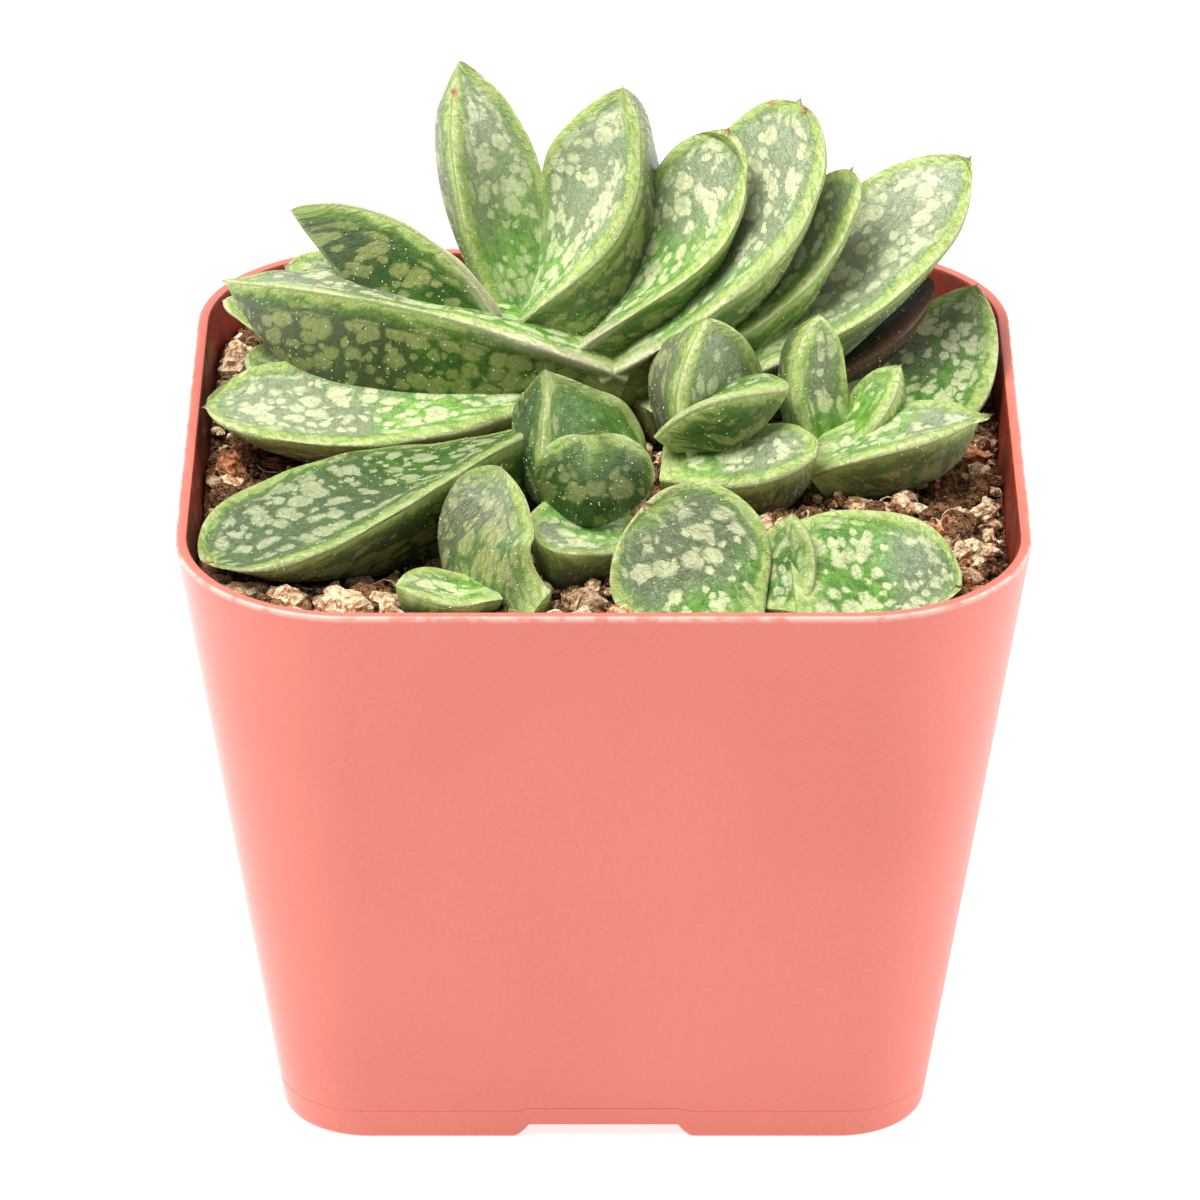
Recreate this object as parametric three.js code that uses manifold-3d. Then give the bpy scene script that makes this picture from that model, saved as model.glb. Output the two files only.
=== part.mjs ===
// A small gasteria with its offsets, growing in a square plastic nursery pot.
// Millimetres, +Z up. The origin is the middle of the pot's underside, and -Y is the front.
import * as THREE from 'three';
import { mergeVertices } from 'three/addons/utils/BufferGeometryUtils.js';
import Module from 'manifold-3d';

const wasm = await Module();
wasm.setup();

// Pot
const rimWidth = 57;
const rimCornerRadius = 12;
const footWidth = 44;
const footCornerRadius = 6;
const potHeight = 43.5;
const wallThickness = 0.85;
const floorTop = 2.2;
const footRingWidth = 2;
const footRingHeight = 1;
const footRingCornerRadius = 4.5;
const notchTopWidth = 10.2;
const notchFootWidth = 12.3;
const notchHeight = 0.92;
const drainRadius = 1.8;
const drainOffset = 10;

// Soil
const soilDrop = 3.1;
const reliefHeight = 0.45;
const hollows = [
  { at: [10, -23], reach: [10, 5], depth: 1.1 },
  { at: [-13, -15], reach: [8, 5], depth: 1.8 },
];
const gritCount = 55;
const gritSeed = 11;
const gritSmallest = 0.7;
const gritLargest = 1.3;

// Plants
const gap = 0.3;
const marginThickness = 1;
const faceDish = 0.12;
const tipLength = 0.5;
const leafRings = 10;
const faceSteps = 4;
const flankSteps = 3;
const collarDepth = 3;
const rootRadius = 0.55;
const rootLengthPerStemRadius = 5;
const sliverSize = 0.05;
const holeMargin = 1;

// Each leaf runs from base to tip, both given as [x, y, height over the rim]. face is the way its
// upper side looks at the base and faceTip at the tip. width is across the margins, and depth is
// how far the keel stands below them. bow arches the leaf toward its face, and sway bends it
// toward its right margin. keel is where the ridge of the underside lies, from -1 to 1 across.
// Low values of blunt give a round end. broadAt is where the leaf is widest and deepest where its
// underside stands lowest, and foot and heel are its shares of that width and depth at its base.
const usualLeaf = {
  bow: 0,
  sway: 0,
  keel: 0,
  blunt: 0.75,
  foot: 0.6,
  broadAt: 0.5,
  heel: 0.6,
  deepest: 0.45,
};

const plants = [
  {
    name: 'middle_offset', at: [0, -8.5], stemRadius: 1.7, stemTop: -0.6, roots: 3,
    leaves: [
      { base: [-0.6, -8.5, -1], tip: [-0.7, -11.6, 5.3], face: [0, 0.7, 0.7],
        faceTip: [0, 0.5, 0.8], width: 8.3, depth: 4.2, blunt: 0.6, foot: 0.9, broadAt: 0.3 },
      { base: [0.5, -10, -1.5], tip: [-3.5, -18.5, -0.2], face: [0, -0.3, 1],
        width: 7.5, depth: 4, bow: -0.3, blunt: 0.6, foot: 1, broadAt: 0.4 },
      { base: [0.8, -8, -2.5], tip: [-3.9, -7.5, 7.8], face: [0.75, -0.7, 0.1],
        faceTip: [0.75, -0.65, 0], width: 9.4, depth: 7.2, sway: 0.2, blunt: 1.4,
        broadAt: 0.35, deepest: 0.3, heel: 1 },
    ],
  },
  {
    name: 'front_left_offset', at: [-5.6, -20.2], stemRadius: 1.5, stemTop: -3.3, roots: 3,
    leaves: [
      { base: [-3.8, -20, -4.8], tip: [-6.8, -15.2, 4.3], face: [0.7, 0.7, 0.2],
        width: 9.4, depth: 3, bow: -0.8, sway: 2.2, keel: 0.4, blunt: 0.6, foot: 0.75 },
      { base: [-7, -20, -2.5], tip: [-13.8, -22, -1], face: [0.1, 0, 1],
        width: 5.5, depth: 2.5, blunt: 0.8 },
    ],
  },
  {
    name: 'front_right_offset', at: [11.3, -18.2], stemRadius: 1.6, stemTop: -3.7, roots: 3,
    leaves: [
      { base: [8, -22.4, -4.2], tip: [2.8, -17.1, 2.3], face: [0.2, -0.75, 0.65],
        width: 11.6, depth: 3.5, bow: -1, sway: 0.6, keel: 0.3, blunt: 0.42, foot: 0.45,
        broadAt: 0.55 },
      { base: [10.8, -20.3, -3.8], tip: [12.5, -16.3, 1.4], face: [-0.4, -0.7, 0.6],
        width: 5.4, depth: 2.5, bow: -0.5, blunt: 0.85, foot: 0.9, broadAt: 0.3 },
      { base: [12.5, -19.5, -2.2], tip: [23.4, -22.3, -0.9], face: [0.1, -0.5, 1],
        width: 12.5, depth: 3.2, bow: -1, sway: -0.8, foot: 0.8, broadAt: 0.42 },
    ],
  },
  {
    name: 'inner_right_offset', at: [5.5, -4], stemRadius: 1.6, stemTop: -0.6, roots: 3,
    leaves: [
      { base: [4, -5, -0.8], tip: [14.4, -7, 1.8], face: [-0.1, -0.25, 0.95],
        width: 5.8, depth: 4.6, bow: -0.2, blunt: 0.5, foot: 0.6, broadAt: 0.6, heel: 0.5 },
      { base: [4, -4, 1], tip: [12.2, -4.2, 4.8], face: [-0.4, 0.4, 0.8], faceTip: [0, 0.2, 0.9],
        width: 5.2, depth: 2.8, bow: 1, blunt: 0.5, foot: 0.8, heel: 0.4 },
      { base: [9, -1.8, -3], tip: [7.1, -2, 8.7], face: [0.75, -0.66, 0.1],
        faceTip: [0.7, -0.7, 0], width: 8.4, depth: 6.2, blunt: 0.85 },
    ],
  },
  {
    name: 'outer_right_offset', at: [15.4, -2.8], stemRadius: 1.6, stemTop: -1, roots: 3,
    leaves: [
      { base: [14, -4, -1], tip: [26, -4, 2.7], face: [-0.1, 0, 1],
        width: 6.8, depth: 4.2, bow: 0.7, blunt: 0.7, foot: 0.7 },
      { base: [15.6, -2, -2], tip: [14.6, 1, 7.5], face: [0.6, -0.8, 0.2],
        width: 4.4, depth: 2.6, bow: -0.7, keel: -0.4, blunt: 0.8 },
      { base: [15.8, -2.5, -2], tip: [20.2, 0, 4.4], face: [-0.9, -0.2, 0.4],
        faceTip: [-0.9, -0.4, 0.4], width: 5, depth: 2.2, bow: 0.2, sway: -0.3, blunt: 0.9 },
      { base: [15.5, -1.5, -2.5], tip: [22, -0.2, 0.6], face: [-0.4, -0.2, 0.9],
        width: 5, depth: 2, bow: -0.6, blunt: 0.8, foot: 0.8 },
      { base: [17.5, -1, -3], tip: [25.9, 13, 4.2], face: [-0.3, -0.7, 0.75],
        faceTip: [-0.4, -0.8, 0.5], width: 9.8, depth: 2.6, bow: -0.6, blunt: 0.8 },
    ],
  },
  {
    name: 'rosette', at: [-1.2, 4.8], stemRadius: 2.6, stemTop: 1.8, roots: 5,
    leaves: [
      { base: [2, 3, 2.4], tip: [-26, 8.9, 6.6], face: [0.05, 0.25, 0.95],
        faceTip: [0.1, 0.25, 0.9], width: 8.5, depth: 7.8, bow: 1.7, foot: 0.4, broadAt: 0.55,
        deepest: 0.6, heel: 0.2 },
      { base: [-6, 6, 2], tip: [-21.6, 12.5, 10.3], face: [0.5, 0.6, 0.6],
        faceTip: [0.3, 0.7, 0.55], width: 8, depth: 5, bow: 2.3, blunt: 0.7, foot: 0.4 },
      { base: [-1, 3.2, 1.4], tip: [-27, -0.4, 1.5], face: [0.1, -0.12, 1], faceTip: [0.2, -0.1, 1],
        width: 11.5, depth: 5, bow: -0.6, sway: 0.6, blunt: 0.5, foot: 0.2, broadAt: 0.6,
        heel: 0.4 },
      { base: [-1, -0.5, 0.8], tip: [-26.2, -19.6, -0.4], face: [-0.1, 0.5, 1],
        faceTip: [0.1, 0, 1], width: 11, depth: 6.5, bow: 1.3, sway: -0.6, blunt: 0.42,
        foot: 0.2, broadAt: 0.7, heel: 0.5 },
      { base: [-8, 9, 0.5], tip: [1.3, 9.5, 20.8], face: [-0.9, 0.25, 0.2],
        faceTip: [-0.5, -0.85, 0.1], width: 9.6, depth: 7.3, bow: -1.2, blunt: 0.8, foot: 0.8,
        broadAt: 0.4 },
      { base: [-2, 5.5, 2.5], tip: [8.4, 10, 17.3], face: [-0.8, 0.3, 0.6],
        faceTip: [-0.5, -0.75, 0.45], width: 9.5, depth: 3.6, bow: -1, sway: 0.5, blunt: 0.45 },
      { base: [-0.5, 5, 1.8], tip: [13.4, 12, 18.6], face: [-0.8, 0.1, 0.8],
        faceTip: [-0.5, -0.6, 0.7], width: 11.5, depth: 4.6, bow: -1.4, sway: 1, blunt: 0.45 },
      { base: [2, 5, 1], tip: [17, 11, 14], face: [-0.7, 0, 0.8], faceTip: [-0.5, -0.5, 0.7],
        width: 8, depth: 3.4, bow: -1, sway: 1, blunt: 0.5 },
      { base: [2, 3.5, 0], tip: [25.2, 13.5, 13.8], face: [-0.6, 0, 0.9],
        faceTip: [-0.4, -0.6, 0.8], width: 11.5, depth: 5, bow: -1.4, blunt: 0.6 },
      { base: [-3.8, 9.5, -1.3], tip: [-9.9, 13.5, 21.1], face: [0.6, -0.75, 0.2],
        faceTip: [0.75, -0.65, 0.1], width: 8.2, depth: 3.2, bow: -1, sway: 1.3, keel: -0.5,
        blunt: 0.8 },
      { base: [3, 3.5, -2], tip: [22.8, 14, 4.4], face: [-0.6, 0, 0.9],
        faceTip: [-0.5, -0.3, 0.9], width: 9, depth: 2.6, bow: -1, blunt: 0.5 },
      { base: [-2, 5, 0], tip: [-26.2, 13.5, 2.8], face: [0.3, -0.2, 1],
        width: 8, depth: 2.6, bow: -1, blunt: 0.6 },
      { base: [-2, 7, 1], tip: [-22, 15.5, 4.6], face: [0.4, -0.4, 1],
        width: 9, depth: 3, bow: -0.5, blunt: 0.45, broadAt: 0.6 },
      { base: [-2, 3.5, -2], tip: [-24.6, 11.5, -0.3], face: [0.2, -0.2, 1],
        width: 8, depth: 2.4, bow: -0.6, blunt: 0.45, broadAt: 0.6 },
    ],
  },
];

// Lumps of pale pumice that lie on the soil: [x, y, radius]
const pumice = [
  [-25, 14, 1.4], [-25.6, 10, 0.9], [-17.3, -21.5, 1.3], [25.6, -8.2, 0.9], [25, -13.4, 1.1],
  [22.6, -13.2, 1.2], [3, 20, 1.3], [-9, 22, 1.1], [14, 21, 1.2],
];

const finishes = {
  pot: { color: 0xee8a78, roughness: 0.45 },
  soil: { color: 0x5b3c28, roughness: 0.95 },
  stem: { color: 0x9a8a5c, roughness: 0.8 },
  leaf: { color: 0x5f8a4a, roughness: 0.4 },
};

function seededRandom(seed) {
  let state = seed;
  return () => {
    state = (state * 1664525 + 1013904223) % 4294967296;
    return state / 4294967296;
  };
}

// A closed skin over a row of rings with equal point counts, closed by a fan at each end. Each
// ring turns to the left as seen with the row coming toward the eye.
function loft(rings, startPoint, endPoint) {
  const count = rings[0].length;
  const points = [startPoint, ...rings.flat(), endPoint];
  const last = points.length - 1;
  const index = [];
  const at = (ring, step) => 1 + ring * count + (step % count);
  for (let step = 0; step < count; step += 1) {
    index.push(0, at(0, step + 1), at(0, step));
    for (let ring = 0; ring < rings.length - 1; ring += 1) {
      index.push(at(ring, step), at(ring, step + 1), at(ring + 1, step + 1));
      index.push(at(ring, step), at(ring + 1, step + 1), at(ring + 1, step));
    }
    index.push(at(rings.length - 1, step), at(rings.length - 1, step + 1), last);
  }
  const geometry = new THREE.BufferGeometry().setFromPoints(points);
  geometry.setIndex(index);
  return geometry;
}

function solidOf(geometry) {
  const bare = geometry.clone();
  bare.deleteAttribute('normal');
  bare.deleteAttribute('uv');
  const merged = mergeVertices(bare, 1e-4);
  const corners = merged.index.array;
  const triangles = [];
  for (let i = 0; i < corners.length; i += 3) {
    const [a, b, c] = corners.slice(i, i + 3);
    if (a !== b && b !== c && c !== a) triangles.push(a, b, c);
  }
  return new wasm.Manifold(new wasm.Mesh({
    numProp: 3,
    vertProperties: new Float32Array(merged.attributes.position.array),
    triVerts: new Uint32Array(triangles),
  }));
}

function meshOf(solid, name, finish) {
  const data = solid.getMesh();
  const geometry = new THREE.BufferGeometry();
  geometry.setAttribute('position', new THREE.BufferAttribute(data.vertProperties, 3));
  geometry.setIndex(new THREE.BufferAttribute(data.triVerts, 1));
  geometry.computeVertexNormals();
  const material = new THREE.MeshStandardMaterial({ ...finish, metalness: 0 });
  const mesh = new THREE.Mesh(geometry, material);
  mesh.name = name;
  return mesh;
}

// Pot

function roundedSquare(halfWidth, radius, height, arcSteps = 7, sideSteps = 1) {
  const ring = [];
  const centre = halfWidth - radius;
  for (let corner = 0; corner < 4; corner += 1) {
    const turn = (corner * Math.PI) / 2;
    const centreX = centre * Math.SQRT2 * Math.cos(turn + Math.PI / 4);
    const centreY = centre * Math.SQRT2 * Math.sin(turn + Math.PI / 4);
    for (let step = 0; step <= arcSteps; step += 1) {
      const angle = turn + (step / arcSteps) * (Math.PI / 2);
      const x = centreX + radius * Math.cos(angle);
      const y = centreY + radius * Math.sin(angle);
      ring.push(new THREE.Vector3(x, y, height));
    }
    const from = ring.at(-1);
    const side = new THREE.Vector3(-Math.sin(turn + Math.PI / 2) * 2 * centre,
      Math.cos(turn + Math.PI / 2) * 2 * centre, 0);
    for (let step = 1; step < sideSteps; step += 1) {
      ring.push(from.clone().addScaledVector(side, step / sideSteps));
    }
  }
  return ring;
}

function wallHalfWidth(height) {
  return THREE.MathUtils.mapLinear(height, 0, potHeight, footWidth / 2, rimWidth / 2);
}

function wallCornerRadius(height) {
  return THREE.MathUtils.mapLinear(height, 0, potHeight, footCornerRadius, rimCornerRadius);
}

function wallRing(inset, height, arcSteps, sideSteps) {
  const halfWidth = wallHalfWidth(height) - inset;
  return roundedSquare(halfWidth, wallCornerRadius(height) - inset, height, arcSteps, sideSteps);
}

// grow thickens the shell on every side, for the room that its neighbours leave it.
function potShell(grow) {
  const footInner = footRingWidth + grow;
  const rings = [
    roundedSquare(footWidth / 2 - footInner, footRingCornerRadius, footRingHeight - grow),
    roundedSquare(footWidth / 2 - footInner, footRingCornerRadius, -grow),
    roundedSquare(footWidth / 2 + grow, footCornerRadius + grow, -grow),
    roundedSquare(rimWidth / 2 + grow, rimCornerRadius + grow, potHeight + grow),
    wallRing(wallThickness + grow, potHeight + grow),
    wallRing(wallThickness + grow, floorTop + grow),
  ];
  const underside = new THREE.Vector3(0, 0, footRingHeight - grow);
  const floor = new THREE.Vector3(0, 0, floorTop + grow);
  return solidOf(loft(rings, underside, floor));
}

function notchCutter() {
  const slope = (notchFootWidth - notchTopWidth) / 2 / notchHeight;
  const below = 1;
  const rounding = 0.3;
  const outline = new THREE.Shape();
  outline.moveTo(-notchFootWidth / 2 - slope * below, -below);
  outline.lineTo(notchFootWidth / 2 + slope * below, -below);
  outline.lineTo(notchTopWidth / 2 + slope * rounding, notchHeight - rounding);
  outline.quadraticCurveTo(notchTopWidth / 2, notchHeight, notchTopWidth / 2 - rounding, notchHeight);
  outline.lineTo(-notchTopWidth / 2 + rounding, notchHeight);
  outline.quadraticCurveTo(-notchTopWidth / 2, notchHeight,
    -notchTopWidth / 2 - slope * rounding, notchHeight - rounding);
  const geometry = new THREE.ExtrudeGeometry(outline, {
    depth: rimWidth, bevelEnabled: false, curveSegments: 3,
  });
  geometry.rotateX(Math.PI / 2);
  geometry.translate(0, rimWidth / 2, 0);
  return solidOf(geometry);
}

function drainCutter(x, y) {
  const below = 1;
  const outline = new THREE.Shape();
  outline.absarc(0, 0, drainRadius, 0, 2 * Math.PI);
  const geometry = new THREE.ExtrudeGeometry(outline, {
    depth: floorTop + 2 * below, bevelEnabled: false, curveSegments: 6,
  });
  geometry.translate(x, y, -below);
  return solidOf(geometry);
}

function pot() {
  let shell = potShell(0).subtract(notchCutter()).subtract(notchCutter().rotate([0, 0, 90]));
  for (const x of [-drainOffset, drainOffset]) {
    for (const y of [-drainOffset, drainOffset]) {
      shell = shell.subtract(drainCutter(x, y));
    }
  }
  return shell;
}

// Leaves

function leafWidthAt(leaf, along) {
  if (along < leaf.broadAt) {
    const swell = Math.sin((Math.PI / 2) * (along / leaf.broadAt)) ** 1.3;
    return leaf.foot + (1 - leaf.foot) * swell;
  }
  const past = (along - leaf.broadAt) / (1 - leaf.broadAt);
  return Math.max(0, 1 - past ** 2) ** leaf.blunt;
}

function leafDepthAt(leaf, along) {
  const { deepest, heel } = leaf;
  if (along < deepest) {
    return heel + (1 - heel) * Math.sin((Math.PI / 2) * (along / deepest));
  }
  const past = (along - deepest) / (1 - deepest);
  return Math.max(0, 1 - past ** 2.2) ** 0.9;
}

function leafFrame(leaf) {
  const base = new THREE.Vector3(leaf.base[0], leaf.base[1], leaf.base[2] + potHeight);
  const tip = new THREE.Vector3(leaf.tip[0], leaf.tip[1], leaf.tip[2] + potHeight);
  const reach = tip.clone().sub(base);
  const axis = reach.clone().normalize();
  const face = new THREE.Vector3(...leaf.face);
  const faceTip = new THREE.Vector3(...(leaf.faceTip ?? leaf.face));
  const up = face.clone().add(faceTip);
  up.addScaledVector(axis, -up.dot(axis)).normalize();
  const side = axis.clone().cross(up);
  return { base, tip, reach, up, side, face: face.normalize(), faceTip: faceTip.normalize() };
}

function leafMiddle(leaf, frame, along) {
  const arch = 4 * along * (1 - along);
  return frame.base.clone().addScaledVector(frame.reach, along)
    .addScaledVector(frame.up, leaf.bow * arch)
    .addScaledVector(frame.side, leaf.sway * arch);
}

// Across positions of one section: over the face from the left margin to the right one, then back
// under it with a point on the keel itself.
function sectionSteps(keel) {
  const face = [];
  for (let i = 0; i <= faceSteps; i += 1) face.push(-Math.cos((i / faceSteps) * Math.PI));
  const under = [];
  for (let i = 1; i <= flankSteps; i += 1) {
    under.push(keel + (1 - keel) * Math.cos((i / flankSteps) * (Math.PI / 2)));
  }
  for (let i = 1; i < flankSteps; i += 1) {
    under.push(keel - (1 + keel) * Math.sin((i / flankSteps) * (Math.PI / 2)));
  }
  return { face, under };
}

function leafRing(leaf, frame, along, grow) {
  const step = 1e-3;
  const middle = leafMiddle(leaf, frame, along);
  const ahead = leafMiddle(leaf, frame, along + step);
  const tangent = ahead.sub(leafMiddle(leaf, frame, along - step)).normalize();
  const blend = along * along * (3 - 2 * along);
  const up = frame.face.clone().lerp(frame.faceTip, blend);
  up.addScaledVector(tangent, -up.dot(tangent)).normalize();
  const side = tangent.clone().cross(up);

  const widthShare = leafWidthAt(leaf, along);
  const halfWidth = (leaf.width / 2) * widthShare;
  const depth = leaf.depth * leafDepthAt(leaf, along);
  const keel = leaf.keel * Math.min(1, along * 6);
  const sharpness = 2.1 - 0.5 * along;
  const nearTip = Math.min(1, (1 - along) * 6 + 0.15);
  const edge = (marginThickness / 2) * Math.min(1, 0.4 + widthShare) * nearTip;
  const dish = faceDish * halfWidth * Math.min(1, 2 * along + 0.2);
  const margin = (across) => edge * Math.sqrt(Math.max(0, 1 - Math.abs(across) ** 6));

  const { face, under } = sectionSteps(keel);
  const place = (across, height) => middle.clone()
    .addScaledVector(side, across * (halfWidth + grow)).addScaledVector(up, height);
  const upper = face.map((x) => place(x, margin(x) - dish * (1 - x * x) + grow));
  const lower = under.map((x) => {
    const run = x < keel ? (keel - x) / (1 + keel) : (x - keel) / (1 - keel);
    return place(x, -depth * (1 - run ** sharpness) - margin(x) - grow);
  });
  return [...upper, ...lower];
}

function leafSolid(leafSizes, grow) {
  const leaf = { ...usualLeaf, ...leafSizes };
  const frame = leafFrame(leaf);
  const rings = [];
  const lastRing = 0.985;
  for (let i = 0; i < leafRings; i += 1) {
    const along = (lastRing * (1 - Math.cos((i / (leafRings - 1)) * Math.PI))) / 2;
    rings.push(leafRing(leaf, frame, along, grow));
  }
  const start = leafMiddle(leaf, frame, 0);
  const backward = start.clone().sub(leafMiddle(leaf, frame, 0.02)).normalize();
  for (const point of rings[0]) point.addScaledVector(backward, grow);
  start.addScaledVector(backward, grow);
  const end = leafMiddle(leaf, frame, 1);
  const forward = end.clone().sub(leafMiddle(leaf, frame, 0.95)).normalize();
  end.addScaledVector(forward, tipLength + 2 * grow);
  return solidOf(loft(rings, start, end));
}

// Stems and roots

function latheAt(profile, [x, y], segments) {
  const points = profile.map(([radius, height]) => new THREE.Vector2(radius, height));
  const geometry = new THREE.LatheGeometry(points, segments);
  geometry.rotateX(Math.PI / 2);
  geometry.translate(x, y, 0);
  return solidOf(geometry);
}

function stemHeights(plant) {
  const soilTop = potHeight - soilDrop;
  const top = potHeight + plant.stemTop;
  const collar = soilTop - collarDepth;
  const bottom = collar - plant.stemRadius * rootLengthPerStemRadius;
  return { top, collar, bottom };
}

function stemBody(plant, grow) {
  const { top, collar } = stemHeights(plant);
  const radius = plant.stemRadius + grow;
  const profile = [
    [0, collar - 2 - grow], [radius * 0.6, collar - 1.6 - grow], [radius, collar],
    [radius, top - 1], [radius * 0.7, top + grow], [0, top + grow],
  ];
  return latheAt(profile, plant.at, 10);
}

function rootBody(plant, turn) {
  const { collar, bottom } = stemHeights(plant);
  const [x, y] = plant.at;
  const reach = (away, height) => new THREE.Vector3(
    x + away * plant.stemRadius * Math.cos(turn),
    y + away * plant.stemRadius * Math.sin(turn),
    height,
  );
  const path = new THREE.CatmullRomCurve3([
    reach(0.4, collar), reach(0.9, collar - 2.5), reach(1.05, (collar + bottom) / 2),
    reach(0.85, bottom),
  ]);
  const outline = new THREE.Shape();
  outline.absarc(0, 0, rootRadius, 0, 2 * Math.PI);
  const geometry = new THREE.ExtrudeGeometry(outline, {
    extrudePath: path, steps: 4, curveSegments: 3, bevelEnabled: false,
  });
  return solidOf(geometry);
}

function stemWithRoots(plant) {
  let body = stemBody(plant, 0);
  for (let i = 0; i < plant.roots; i += 1) {
    body = body.add(rootBody(plant, (i / plant.roots) * 2 * Math.PI + 0.3));
  }
  return body;
}

function plantingHole(plant) {
  const { bottom } = stemHeights(plant);
  const radius = plant.stemRadius + holeMargin;
  const profile = [
    [0, bottom - gap], [radius, bottom - gap], [radius, potHeight], [0, potHeight],
  ];
  return latheAt(profile, plant.at, 12);
}

// Soil

function soilRelief(x, y) {
  const broad = Math.sin(0.55 * x + 1.3) * Math.cos(0.5 * y - 0.4);
  const middling = Math.sin(1.3 * x - 0.7 * y + 2);
  const fine = Math.sin(2.4 * x + 1.9 * y) * Math.cos(1.8 * y - 0.9 * x);
  let height = reliefHeight * (0.9 * broad + 0.6 * middling + 0.5 * fine);
  for (const { at, reach, depth } of hollows) {
    const away = ((x - at[0]) / reach[0]) ** 2 + ((y - at[1]) / reach[1]) ** 2;
    height -= depth * Math.exp(-away);
  }
  return height;
}

function soilBlock() {
  const top = potHeight - soilDrop;
  const inset = wallThickness + gap;
  const ringCount = 9;
  const bottomHeight = floorTop + gap;
  const outline = wallRing(inset, top, 4, 5);
  const rings = [wallRing(inset, bottomHeight, 4, 5)];
  for (let i = ringCount; i > 0; i -= 1) {
    rings.push(outline.map((point) => {
      const x = (point.x * i) / ringCount;
      const y = (point.y * i) / ringCount;
      return new THREE.Vector3(x, y, top + soilRelief(x, y));
    }));
  }
  const bottom = new THREE.Vector3(0, 0, bottomHeight);
  const middle = new THREE.Vector3(0, 0, top + soilRelief(0, 0));
  return solidOf(loft(rings, bottom, middle));
}

function gritPiece(x, y, radius, turn) {
  const geometry = new THREE.IcosahedronGeometry(radius, 0);
  geometry.scale(1, 0.85, 0.75);
  geometry.rotateX(turn);
  geometry.rotateZ(turn * 2);
  const sunk = radius * 0.15;
  geometry.translate(x, y, potHeight - soilDrop + soilRelief(x, y) - sunk);
  return solidOf(geometry);
}

function soil(plantRoom, potRoom) {
  let body = soilBlock().subtract(plantRoom);
  for (const plant of plants) body = body.subtract(plantingHole(plant));
  const keepClear = plantRoom.add(potRoom);
  const random = seededRandom(gritSeed);
  const spread = rimWidth - 2 * wallThickness - 2;
  const pieces = [...pumice];
  for (let i = 0; i < gritCount; i += 1) {
    const x = (random() - 0.5) * spread;
    const y = (random() - 0.5) * spread;
    pieces.push([x, y, THREE.MathUtils.lerp(gritSmallest, gritLargest, random())]);
  }
  for (const [x, y, radius] of pieces) {
    const piece = gritPiece(x, y, radius, random() * Math.PI);
    const clear = piece.intersect(keepClear).isEmpty();
    if (clear) body = body.add(piece);
  }
  return largestBody(body.simplify(sliverSize));
}

function largestBody(solid) {
  const bodies = solid.decompose();
  return bodies.reduce((best, body) => (body.volume() > best.volume() ? body : best));
}

// Assembly: a leaf is trimmed where it would reach into the pot, a stem or a leaf that lies over
// it, and the soil leaves room for the leaves that are bedded in it.
const part = new THREE.Group();
part.name = 'gasteria_in_pot';
part.add(meshOf(pot(), 'pot', finishes.pot));

const potRoom = potShell(gap);
let plantRoom = new wasm.Manifold(new wasm.Mesh({
  numProp: 3, vertProperties: new Float32Array(), triVerts: new Uint32Array(),
}));
for (const plant of plants) {
  part.add(meshOf(stemWithRoots(plant), `${plant.name}_stem`, finishes.stem));
  plantRoom = plantRoom.add(stemBody(plant, gap));
}
for (const plant of plants) {
  plant.leaves.forEach((leaf, index) => {
    const whole = leafSolid(leaf, 0);
    const trimmed = whole.subtract(potRoom).subtract(plantRoom);
    const body = largestBody(trimmed.simplify(sliverSize));
    const number = String(index + 1).padStart(2, '0');
    part.add(meshOf(body, `${plant.name}_leaf_${number}`, finishes.leaf));
    plantRoom = plantRoom.add(leafSolid(leaf, gap));
  });
}
part.add(meshOf(soil(plantRoom, potRoom), 'soil', finishes.soil));

export default part;
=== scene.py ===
# A small gasteria with its offsets in a square plastic nursery pot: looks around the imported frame.
# Lengths are millimetres until a mesh is made, with the origin under the middle of the pot.
import math

import bmesh
import bpy
import numpy as np
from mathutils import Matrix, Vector, noise
from mathutils.bvhtree import BVHTree


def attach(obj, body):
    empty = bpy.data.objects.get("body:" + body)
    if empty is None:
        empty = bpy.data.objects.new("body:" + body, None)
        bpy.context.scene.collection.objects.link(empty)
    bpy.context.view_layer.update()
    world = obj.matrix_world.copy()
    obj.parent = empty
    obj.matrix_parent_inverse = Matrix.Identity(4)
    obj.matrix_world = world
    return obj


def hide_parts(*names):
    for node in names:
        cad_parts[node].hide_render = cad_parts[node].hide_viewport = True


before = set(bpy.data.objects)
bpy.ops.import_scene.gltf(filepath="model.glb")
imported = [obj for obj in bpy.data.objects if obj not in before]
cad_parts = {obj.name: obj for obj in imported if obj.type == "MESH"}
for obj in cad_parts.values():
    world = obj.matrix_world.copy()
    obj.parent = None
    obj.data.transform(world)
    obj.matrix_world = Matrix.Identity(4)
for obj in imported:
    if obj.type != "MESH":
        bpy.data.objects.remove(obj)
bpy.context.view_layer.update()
MM = 0.001

# Pot
RIM_WIDTH = 57
RIM_CORNER_RADIUS = 12
FOOT_WIDTH = 44
FOOT_CORNER_RADIUS = 6
POT_HEIGHT = 43.5
WALL = 0.85
FLOOR_TOP = 2.2
FOOT_RING_WIDTH = 2
FOOT_RING_HEIGHT = 1
FOOT_RING_CORNER_RADIUS = 4.5
NOTCH_TOP_WIDTH = 10.2
NOTCH_FOOT_WIDTH = 12.3
NOTCH_HEIGHT = 0.92
DRAIN_RADIUS = 1.8
DRAIN_OFFSET = 10
FOOT_ROUND = 0.3
RIM_ROUND = 0.22
GROOVE_HEIGHT = 2.3
GROOVE_DEPTH = 0.05
GROOVE_REACH = 0.06

# Soil
SOIL_TOP = POT_HEIGHT - 3.1
RELIEF_HEIGHT = 0.45
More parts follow.
